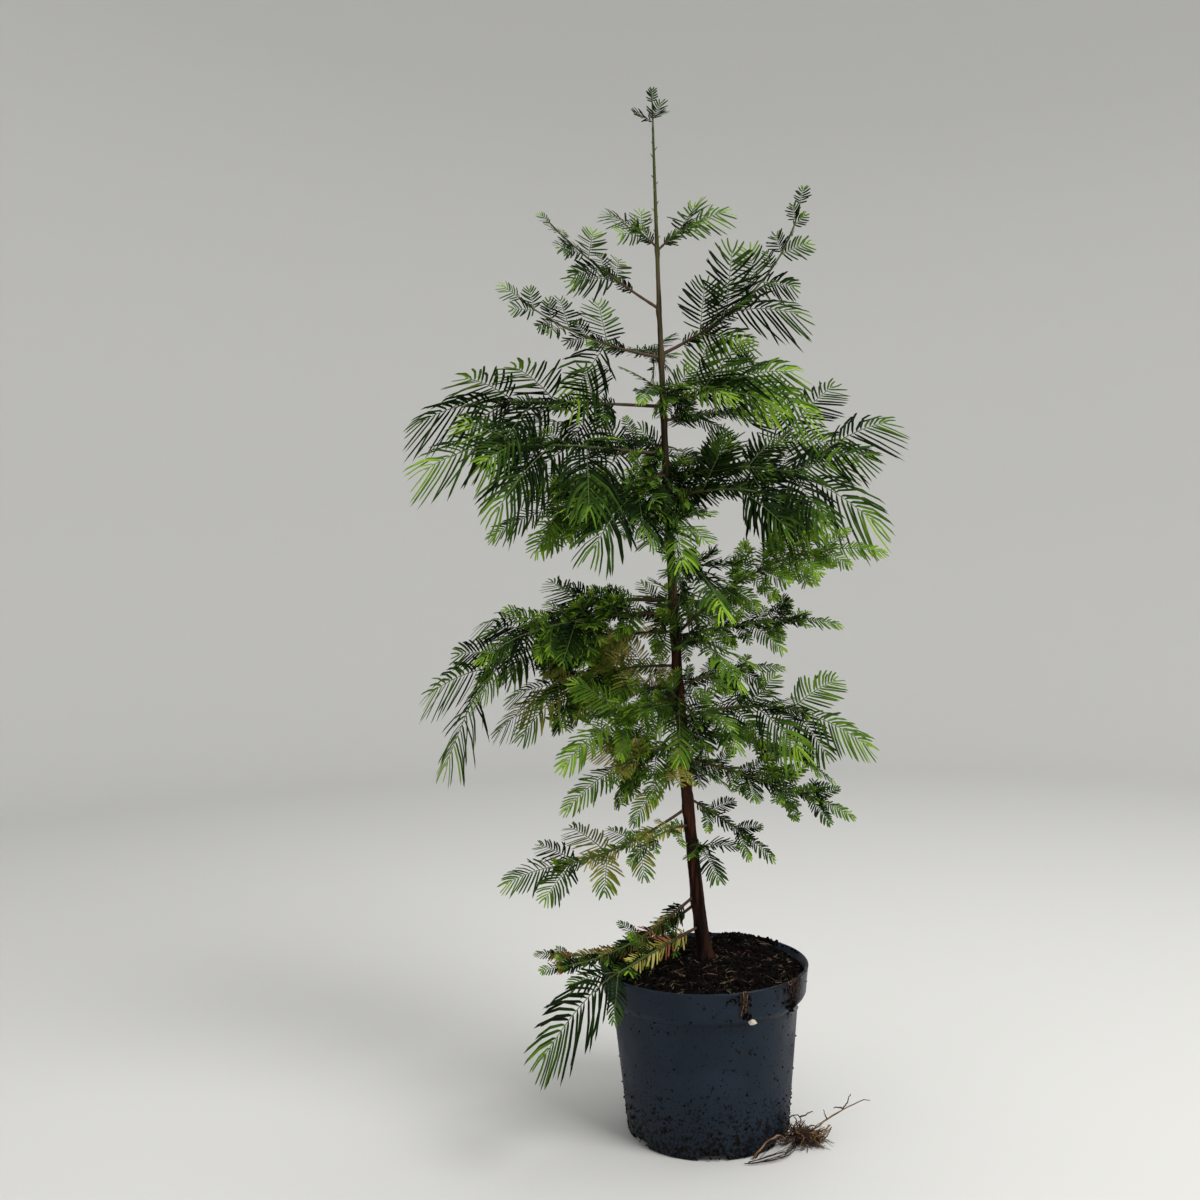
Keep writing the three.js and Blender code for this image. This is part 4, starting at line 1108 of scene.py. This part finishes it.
# %% A spray's colour
ODDS = {  # from each share of a bough: the chances up to which a spray has each colour
    "deep": ((0, {"deep": 0.78, "green": 1}), (0.8, {"deep": 0.43, "green": 1})),
    "green": ((0, {"deep": 0.35, "green": 0.88, "light": 1}),
              (0.8, {"deep": 0.35, "green": 0.58, "light": 1})),
    "light": ((0, {"green": 0.35, "light": 1}),),
    "young": ((0, {"light": 0.45, "young": 1}),),
    "olive": ((0, {"bronze": 0.26, "olive": 0.6, "light": 0.9, "green": 1}),),
    "fading": ((0, {"bronze": 0.2, "olive": 0.7, "light": 1}),
               (0.55, {"olive": 0.25, "deep": 0.33, "green": 1})),
    "dry": ((0, {"rust": 0.34, "bronze": 0.48, "deep": 1}), (0.6, {"deep": 0.25, "green": 1})),
}


def spray_tint(bough, throw, out=0.0):
    """A spray's colour by its bough's odds, at that share of the way out."""
    chance = throw()
    odds = [odds for start, odds in ODDS[bough["tint"]] if out >= start][-1]
    return next(tint for tint, limit in odds.items() if chance < limit)


print("bough colours:", ", ".join(ODDS))

# %% [markdown]
# An opposite spray stands near the place of the plain model's and has six tenths of its size or more. The
# small pairs in between are shorter and rolled out of the bough's plane to either side, which gives the
# bough its depth.

# %% Opposite sprays and small pairs
SIZES, SHIFT, SPLAYS, ROLLS, LIFTS = (0.62, 1), 6, 10, 26, 18  # how an opposite spray differs
SMALL_SIZES, SMALL_SHIFT, SMALL_SPLAYS = (0.4, 0.85), 4, (38, 64)  # and a small one in between
SMALL_ROLLS, SMALL_LIFTS = (20, 95), (-14, 14)


def partners(bough, sites, last, throw):
    """The sprays opposite the plain model's, and smaller pairs in between, rolled out of their plane."""
    made = []
    for site in sites:
        if bough["pairs"] >= 0 or throw() < 0.5:
            made.append(dict(
                site, side=-site["side"], length=site["length"] * mix(*SIZES, throw()),
                share=min(last, site["share"] + spread(throw, SHIFT / bough["reach"])),
                splay=site["splay"] + spread(throw, SPLAYS), roll=bough["roll"] + spread(throw, ROLLS),
                lift=LIFTS * throw()))
    pairs = max(0, bough["pairs"])
    for before, after in zip(sites, sites[1:]):
        for i in range(pairs):
            for side in (1, -1):
                share = mix(before["share"], after["share"], (i + 1) / (pairs + 1))
                made.append(dict(
                    before, side=side, twig=True,
                    splay=mix(*SMALL_SPLAYS, throw()), lift=mix(*SMALL_LIFTS, throw()),
                    share=share + spread(throw, SMALL_SHIFT / bough["reach"]),
                    length=(before["length"] + after["length"]) / 2 * mix(*SMALL_SIZES, throw()),
                    roll=bough["roll"] + mix(*SMALL_ROLLS, throw()) * (1 if throw() < 0.5 else -1)))
    return made


# %% [markdown]
# Short sprays stand round the trunk at the feet of the middle boughs, where new shoots come out of old
# wood. Two combs of short needles clothe each stem, one in the plane of its sprays and one rolled out of
# it.

# %% Tufts and stem needles
TUFTS, TUFT_LENGTHS, TUFT_SPLAYS, TUFT_ROLLS, TUFT_LIFTS = 4, (26, 50), (30, 95), (-90, 90), (-35, 20)
STEM_COMBS = ((0, 20, 10, 16), (75, 20, 8, 13))  # roll, length of one stretch, shortest and longest needle
COMBED_WHIP, COMB_ROLL = 0.5, 12  # a whip's combs stop at this share; how far each stretch is rolled


def tufts(first, throw):
    """Short sprays at the foot of a bough, which close the crown round the trunk."""
    return [{
        "share": first + 0.05 * throw(),
        "side": 1 if i % 2 else -1,
        "length": mix(*TUFT_LENGTHS, throw()),
        "splay": mix(*TUFT_SPLAYS, throw()),
        "roll": mix(*TUFT_ROLLS, throw()),
        "lift": mix(*TUFT_LIFTS, throw()),
    } for i in range(TUFTS)]


def comb_stem(node, bough, first, last, throw):
    """Short needles that stand on the stem itself, all round it."""
    combed = last * COMBED_WHIP if bough["taper"] < WHIP_TAPER else last
    for roll, stretch, shortest, longest in STEM_COMBS:
        for step in np.arange(first, combed, stretch / bough["reach"]):
            here = min(stretch / bough["reach"], combed - step)
            turned = bough["roll"] + roll + spread(throw, COMB_ROLL)
            site = {"share": step, "side": 1, "splay": 0, "lift": 0, "roll": turned}
            frame_of = spray_frame(bough, paths[bough["name"]], site)
            needle = mix(shortest, longest, throw()) * mix(1, min(1, bough["taper"]), step)
            tint = spray_tint(bough, throw)
            grow_needles(node, frame_of, here * bough["reach"], needle, tint, 0, 0.02)


# %% [markdown]
# Now every bough grows: the end spray, the plain model's sprays, and all that fills it out. A spray is
# cut to the length that is free, and a small one becomes a twig where the bough's needles are fine
# enough.

# %% Growing every bough
TUFTED = (330, 730)  # the heights between which boughs have tufts
FORKS = ((1, 30, 0.5), (-1, 46, 0.42))  # side, splay and share of the sprays beside a very long end one
FORK_LIFT = -8
FINE, SHORTEST_TWIG = 0.82, 26  # boughs with needles this short have twigs, which are no shorter than this
STEM_RADIUS, LEAST_START = 1.9, 0.1  # a stem's radius at the trunk; no spray stands before this share
for bough in BOUGHS:
    node, path = "foliage_" + bough["name"], paths[bough["name"]]
    start = bough["bare"] + GAP / bough["reach"] if bough["bare"] else root_share(bough, STEM_RADIUS)
    first = max(start, LEAST_START)
    sites, last, tip = spray_sites(bough, first)
    throw = dice(bough["at"] * 31 + bough["bearing"] + 7)
    end = {"share": last, "side": 0, "length": tip, "splay": 0, "roll": bough["roll"], "lift": 0}
    extra = partners(bough, sites, last, throw)
    if bough["taper"] > 1:
        extra += [dict(end, side=side, splay=splay, length=tip * share, lift=FORK_LIFT)
                  for side, splay, share in FORKS]
    if TUFTED[0] < bough["at"] < TUFTED[1]:
        extra += tufts(start, throw)
    for site in [end, *sites, *extra]:
        tint = spray_tint(bough, throw, site["share"] / last)
        frame_of = spray_frame(bough, path, site)
        length = free_length(frame_of, site["length"])
        needle = needle_for(bough, site["length"])
        if "twig" in site and bough["needle"] <= FINE and length > SHORTEST_TWIG:
            grow_twig(node, frame_of, length, needle, tint, throw)
        elif length > SHORTEST_SPRAY:
            grow_spray(node, frame_of, length, needle, tint)
    comb_stem(node, bough, first, last, throw)
needles = sum(len(part) for parts in grown.values() for part in parts)
print("sprays:", len(rib_routes), "needles:", needles)

# %% [markdown]
# ### Leading shoot
# Above the trunk's tip the leading shoot is a soft green stem with three tiny sprays and a tuft at the
# top, where next year's growth starts. Bud stubs stand up the young stem below it, each more than a
# quarter turn from the last.

# %% Leading shoot
LEADER_HEIGHT, LEADER_SPRAYS, LEADER_BEARING, LEADER_RISE = 41, 3, 175, 34
STUBS, STUBBED, STUB_TURN, STUB_RISE, STUB_LENGTH = 16, (868, 968), 137, 48, 5.5
INTO_TRUNK = 3  # how far the shoot's stem starts below its foot
SIDE_SPRAY, TOP_SPRAY, TOP_TURNS = (28, 12.5), (17, 7), (0, 70)  # length and needle, and bearings
SIDE_FROM, SIDE_STEP = 5, 2  # the height of the first side spray above the foot, and of each next one
STEM_SHARE, STEM_RADII, STUB_RADII = 0.8, (1.15, 0.8), (0.9, 0.35)
foot = trunk_at(TRUNK_TIP) + UP * GAP
share = np.linspace(0, 1, RIB_STEPS + 1)[:, None]
stem = foot - UP * INTO_TRUNK + UP * (LEADER_HEIGHT * STEM_SHARE + INTO_TRUNK) * share
grow_rib(stem, *STEM_RADII)
for i in range(LEADER_SPRAYS):
    out = heading(LEADER_BEARING + 360 / LEADER_SPRAYS * i, LEADER_RISE)
    base = foot + UP * (SIDE_FROM + SIDE_STEP * i)
    grow_spray("foliage_leader", frame_at(base, out, UP), *SIDE_SPRAY, "deep")
top = foot + UP * (LEADER_HEIGHT - TOP_SPRAY[0])
for turn in TOP_TURNS:
    across = heading(turn, 0)
    grow_spray("foliage_leader", (top, UP, across, np.cross(UP, across)), *TOP_SPRAY, "deep", 0)
for i in range(STUBS):
    root = trunk_at(mix(*STUBBED, i / (STUBS - 1)))
    grow_rib(root + STUB_LENGTH * share * heading(STUB_TURN * i, STUB_RISE), *STUB_RADII)
print("leading shoot:", LEADER_SPRAYS + len(TOP_TURNS), "sprays and", STUBS, "bud stubs")

# %% [markdown]
# ### Joining what has grown
# Each colour's needles are joined into pieces of under 200,000 triangles. The colours are plain, with a
# little noise from needle to needle, and a low-gloss waxy skin.

# %% Needle finishes and pieces
TINTS = {  # the darker and the lighter shade of each leaf colour
    "deep": ((0.0022, 0.0068, 0.0010), (0.0085, 0.0225, 0.0030)),
    "green": ((0.0130, 0.0350, 0.0036), (0.0370, 0.0790, 0.0090)),
    "light": ((0.0450, 0.1020, 0.0080), (0.0950, 0.1800, 0.0140)),
    "fresh": ((0.1250, 0.2400, 0.0140), (0.2200, 0.3600, 0.0260)),
    "olive": ((0.1150, 0.1400, 0.0190), (0.2900, 0.2950, 0.0500)),
    "bronze": ((0.1450, 0.1320, 0.0220), (0.3000, 0.2650, 0.0560)),
    "straw": ((0.2900, 0.2600, 0.0650), (0.4700, 0.4150, 0.1250)),
    "rust": ((0.1500, 0.0520, 0.0200), (0.3400, 0.1300, 0.0480)),
}
MOST_TRIANGLES = 190000

for tint, parts in grown.items():
    points = np.concatenate(parts)
    shares = math.ceil(len(points) * len(needle_shape[1]) / MOST_TRIANGLES)
    skin = mottled("needle_" + tint, 0.62, 0.045, (70, 3, 0.36, 0.64), TINTS[tint], (800, 2, 0.12, 0.0003))
    for i, part in enumerate(np.array_split(points, shares)):
        name = f"needles_{tint}" + (f"_{i + 1}" if shares > 1 else "")
        joined_copies(name, (part, needle_shape[1]), skin, sorted(grown_on[tint]), False)

# %% [markdown]
# All ribs are one piece of thin tubes, brown at the foot and green towards the tip. Their finish reads
# the same kind of UV map as the boughs' finish does.

# %% Ribs of the sprays
rib_shape = tube_template(5, RIB_STEPS)
points, faces = along_routes(rib_shape, rib_routes, rib_radii)
rib = Finish("green_rib", 0.55, 0.4)
rib_grain = rib.noise(60, 3)
rib_foot = rib.mixed(rib_grain, (0.040, 0.040, 0.014), (0.085, 0.062, 0.026))
rib_tip = rib.mixed(rib_grain, (0.045, 0.085, 0.018), (0.095, 0.150, 0.034))
rib.colour(rib.mixed(rib.axis("Y", 0, 0.45, "UV"), rib_foot, rib_tip))
rib.bump(rib.noise(600, 2), 0.3, 0.0003)
rib_mesh = with_length_map(mesh_of("spray_ribs", points, faces), rib_shape, len(rib_routes))
foliage_nodes = sorted(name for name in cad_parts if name.startswith("foliage_"))
piece("spray_ribs", rib_mesh, rib.material, foliage_nodes)

# %% [markdown]
# ## Stray roots
# Roots have found a drain notch and lie in a small tangle on the ground. A bundle of coarse tan roots is
# its core, with dark curled ones through it. Others hug the pot's foot in arches, a few dark hairs climb
# the wall, and one long forked root stands out to the side. The loose ones are thrown by dice, and those
# with a shape of their own have a short list of places in mm, which a smooth curve joins.

# %% Roots with a shape of their own
LONG_ROOT = ((92, -40, 8), (99, -40, 12), (103, -41, 15), (108, -42, 21), (113, -42, 22), (119, -43, 27),
             (124, -43, 31), (131, -43, 33), (137, -44, 36), (143, -44, 40), (149, -44, 38))
BRANCHES = (((124, -43, 31), (128, -43, 36), (131, -44, 45)),
            ((124, -43, 31), (119, -42, 32), (115, -42, 31)),
            ((109, -42, 21), (107, -42, 25), (106, -41, 29)))
HAIRS = (((75, -38, 8), (73, -38, 15), (73, -40, 22), (78, -41, 26), (84, -40, 24), (85, -39, 19),
          (82, -38, 9)),
         ((84, -40, 23), (88, -41, 24), (92, -41, 27), (96, -42, 28)),
         ((77, -39, 9), (74, -38, 16), (71, -39, 20)), ((80, -40, 8), (85, -39, 14), (89, -39, 19)),
         ((78, -42, 7), (78, -41, 14), (80, -40, 19)),
         ((98, -46, 5), (103, -47, 3), (108, -43, 5), (113, -39, 10)),
         ((104, -38, 8), (109, -37, 9), (113, -36, 13)))
STRAND_STEPS = 12
root_rng = np.random.default_rng(8)


def thinning(count, first, last, end=0.5):
    """The radii of that many strands, each of which thins to a share of its first radius."""
    return root_rng.uniform(first, last, (count, 1)) * np.linspace(1, end, STRAND_STEPS + 1)[None]


def smooth_route(places):
    """A route of even steps through a few places, rounded where it bends."""
    places = np.array(places, float)
    length = np.concatenate([[0], np.cumsum(np.linalg.norm(np.diff(places, axis=0), axis=1))])
    share = np.linspace(0, length[-1], STRAND_STEPS + 1)
    route = np.stack([np.interp(share, length, places[:, i]) for i in range(3)], -1)
    route[1:-1] = 0.25 * route[:-2] + 0.5 * route[1:-1] + 0.25 * route[2:]
    return route + root_rng.normal(0, 0.25, route.shape)


print("shaped roots: 1 long,", len(BRANCHES), "branches and", len(HAIRS), "hairs")

# %% [markdown]
# The clump lies just outside the notch. Strands start in a flat clump, run across it and wander, and
# those of the core keep along it, as roots do that have been pulled straight.

# %% Strands thrown in a clump
ROOT_BEARING, ROOT_OUT = -27, 22
ROOT_MIDDLE, ROOT_LOW, ROOT_HIGH = 7.5, 1.0, 15.0  # heights of the tangle
out, side = heading(ROOT_BEARING, 0), heading(ROOT_BEARING + 90, 0)
middle = out * (FOOT_RADIUS + ROOT_OUT) + UP * ROOT_MIDDLE


def in_clump(count, long, wide, high, level):
    """Strands that start in a flat clump. level above 0 lays them along it."""
    spot = root_rng.normal(size=(count, 3))
    spot *= root_rng.uniform(0.3, 0.95, (count, 1)) / np.linalg.norm(spot, axis=1, keepdims=True)
    starts = middle + spot[:, :1] * long * out + spot[:, 1:2] * wide * side + spot[:, 2:] * high * UP
    ahead = np.cross(spot, root_rng.normal(size=(count, 3)))
    ahead = ahead / np.linalg.norm(ahead, axis=1, keepdims=True) + level * np.sign(ahead[:, :1]) * out
    made = wandering(root_rng, starts, root_rng.uniform(9, 26, count), ahead, STRAND_STEPS, 0.24, 0.5)
    made[..., 2] = np.clip(made[..., 2], ROOT_LOW, ROOT_HIGH)
    return made


print("middle of the clump:", [round(float(place)) for place in middle], "mm")

# %% [markdown]
# A root that hugs the pot goes round its foot in an arch, from the front to the clump. The outer ones
# arch lower, and each sways in and out as it goes. The first is the thickest and lies closest to the pot.

# %% Roots that hug the pot's foot
HUGGERS, PALE_HUGGERS, HUG_FROM = 14, (0, 5), -66
HUG_GAP, HUG_WIDTH, HUG_BULGE, HUG_BULGE_OUT = 5, 10, 2, 7  # how far from the pot, at the ends and between
HUG_LOW, HUG_ARCH, HUG_THICK, HUG_RADII = 1.3, 13, 0.85, (0.22, 0.48)
share = np.linspace(0, 1, STRAND_STEPS + 1)
arch = np.sin(math.pi * share)
hugging, hug_radii = [], []
for i in range(HUGGERS):
    outer = root_rng.uniform(0, 0.9) if i else 0
    ends = (HUG_FROM, ROOT_BEARING - 4) + root_rng.normal(0, 5, 2) * (i > 0)
    sway = np.cumsum(root_rng.normal(0, 1, (2, len(share))), axis=1) * arch
    turn = np.radians(mix(*ends, share) + 0.6 * sway[0])
    reach = FOOT_RADIUS + HUG_GAP + HUG_WIDTH * outer + (HUG_BULGE + HUG_BULGE_OUT * outer) * arch
    reach += np.maximum(0, sway[1])
    height = HUG_LOW + (HUG_ARCH * (1 - outer) ** 2 + 1) * arch + root_rng.normal(0, 0.3, len(share))
    hugging.append(polar(reach, turn, height))
    hug_radii.append(np.full(STRAND_STEPS + 1, root_rng.uniform(*HUG_RADII) if i else HUG_THICK))

hugging, hug_radii = np.array(hugging), np.array(hug_radii)
pale = np.isin(np.arange(HUGGERS), PALE_HUGGERS)
print("roots round the foot:", HUGGERS, "of which pale:", int(pale.sum()))

# %% [markdown]
# Two pieces share one tube template: the coarse tan roots, and the dark damp hairs that curl through and
# over them. Both finishes are mottled and rough.

# %% Tan roots and dark hairs
CORE, CORE_CLUMP = 70, (17, 6, 4, 1.9)  # count; half length, width and height, and how level
CURLED, CURLED_CLUMP = 150, (18, 10, 5.5, 0)
ROOT_BUMP = (500, 4, 0.5, 0.0005)
strand_shape = tube_template(5, STRAND_STEPS)
tan_routes = np.concatenate([in_clump(CORE, *CORE_CLUMP), [smooth_route(LONG_ROOT)], hugging[pale]])
tan_radii = np.concatenate([thinning(CORE, 0.5, 1.25), thinning(1, 1.0, 1.0, 0.4), hug_radii[pale]])
tan_root = mottled("dry_root", 0.8, 0.3, (110, 3, 0.35, 0.65),
                   ((0.060, 0.030, 0.016), (0.31, 0.185, 0.095)), ROOT_BUMP)
tangle = along_routes(strand_shape, tan_routes, tan_radii)
joined_copies("root_tangle", tangle, tan_root, ["stray_roots"])

fine = [smooth_route(places) for places in (*BRANCHES, *HAIRS)]
dark_routes = np.concatenate([in_clump(CURLED, *CURLED_CLUMP), hugging[~pale], fine])
dark_radii = np.concatenate([thinning(CURLED, 0.2, 0.55), hug_radii[~pale], thinning(len(fine), 0.5, 0.8)])
dark_root = mottled("damp_root", 0.75, 0.3, (130, 3, 0.4, 0.7),
                    ((0.010, 0.006, 0.004), (0.060, 0.026, 0.016)), ROOT_BUMP)
hairs = along_routes(strand_shape, dark_routes, dark_radii)
joined_copies("root_hairs", hairs, dark_root, ["stray_roots"])

# %% [markdown]
# ## Fibres over the rim
# Where peat has spilled, dark fibres hang from the rim and cling to the band. At two places a few tan
# ones stick out, and a white grain of perlite has stuck to the band's lower edge. Each hanging fibre
# follows the pot's own outline: its radius at each height is read off the wall's profile.

# %% Hanging fibres and the perlite grain


def hanging(count, bearing, half, shortest, longest, sway):
    """Fibres that start on the rim round a bearing and run down the outside of the pot."""
    turn = np.radians(bearing + root_rng.normal(0, half, count))[:, None]
    drop = root_rng.uniform(shortest, longest, (count, 1)) * share[None]
    swing = np.cumsum(root_rng.normal(0, sway, (count, STRAND_STEPS + 1)), axis=1)
    height = POT_HEIGHT + 1.2 - drop
    reach = wall_radius(height) + 0.5 + 1.5 * arch * np.exp(-drop / 20)
    return polar(reach, turn + swing, height)


def hang(name, groups, radii, finish):
    """A piece of groups of hanging fibres."""
    routes = np.concatenate([hanging(*group) for group in groups])
    made = along_routes(tube_template(4, STRAND_STEPS), routes, thinning(len(routes), *radii, 0.6))
    joined_copies(name, made, finish)


# Count, bearing, spread, shortest and longest drop, and sway of each group.
DARK_GROUPS = ((16, -73, 1.5, 8, 30, 0.004), (24, -42, 5.0, 5, 26, 0.009), (5, -35, 1.0, 30, 44, 0.003))
TAN_GROUPS = ((3, -73, 0.7, 14, 24, 0.004), (2, -43, 3.0, 5, 9, 0.006))
hang("rim_fibres", DARK_GROUPS, (0.2, 0.5), dark_root)
hang("rim_chips", TAN_GROUPS, (0.25, 0.5), tan_root)

PERLITE_BEARING, PERLITE_OUT, PERLITE_HEIGHT, PERLITE_RADIUS = -68.5, 96, 131, 3.6
perlite = mottled("perlite", 0.9, 0.2, (500, 3, 0, 1), ((0.46, 0.40, 0.32), (0.72, 0.68, 0.60)),
                  (900, 3, 0.6, 0.0006))
spot = polar(PERLITE_OUT, np.radians([PERLITE_BEARING]), PERLITE_HEIGHT)
grain = scattered(root_rng, spot, np.array([PERLITE_RADIUS]), crumb_template(21))
joined_copies("perlite_grain", grain, perlite, smooth=False)

# %% [markdown]
# ## Dirt on the pot
# Peat has splashed and stuck to the wall, thickest at the foot. The grains that stand proud are real
# crumbs.

# %% Crumbs on the wall
WALL_CRUMBS, AT_FOOT, SPLASH = 1300, 0.62, 44  # how many, the share of them at the foot, and its height
turn = rng.uniform(0, math.tau, WALL_CRUMBS)
splashed = rng.uniform(size=WALL_CRUMBS) < AT_FOOT
low = 2.5 + SPLASH * rng.uniform(size=WALL_CRUMBS) ** 1.8
height = np.where(splashed, low, rng.uniform(4, POT_HEIGHT - 3, WALL_CRUMBS))
size = rng.uniform(0.45, 1.0, WALL_CRUMBS) ** 3 * 1.35 + 0.12
crumbs = scattered(rng, polar(wall_radius(height), turn, height), size, crumb_template(9))
joined_copies("wall_crumbs", crumbs, peat.material, smooth=False)
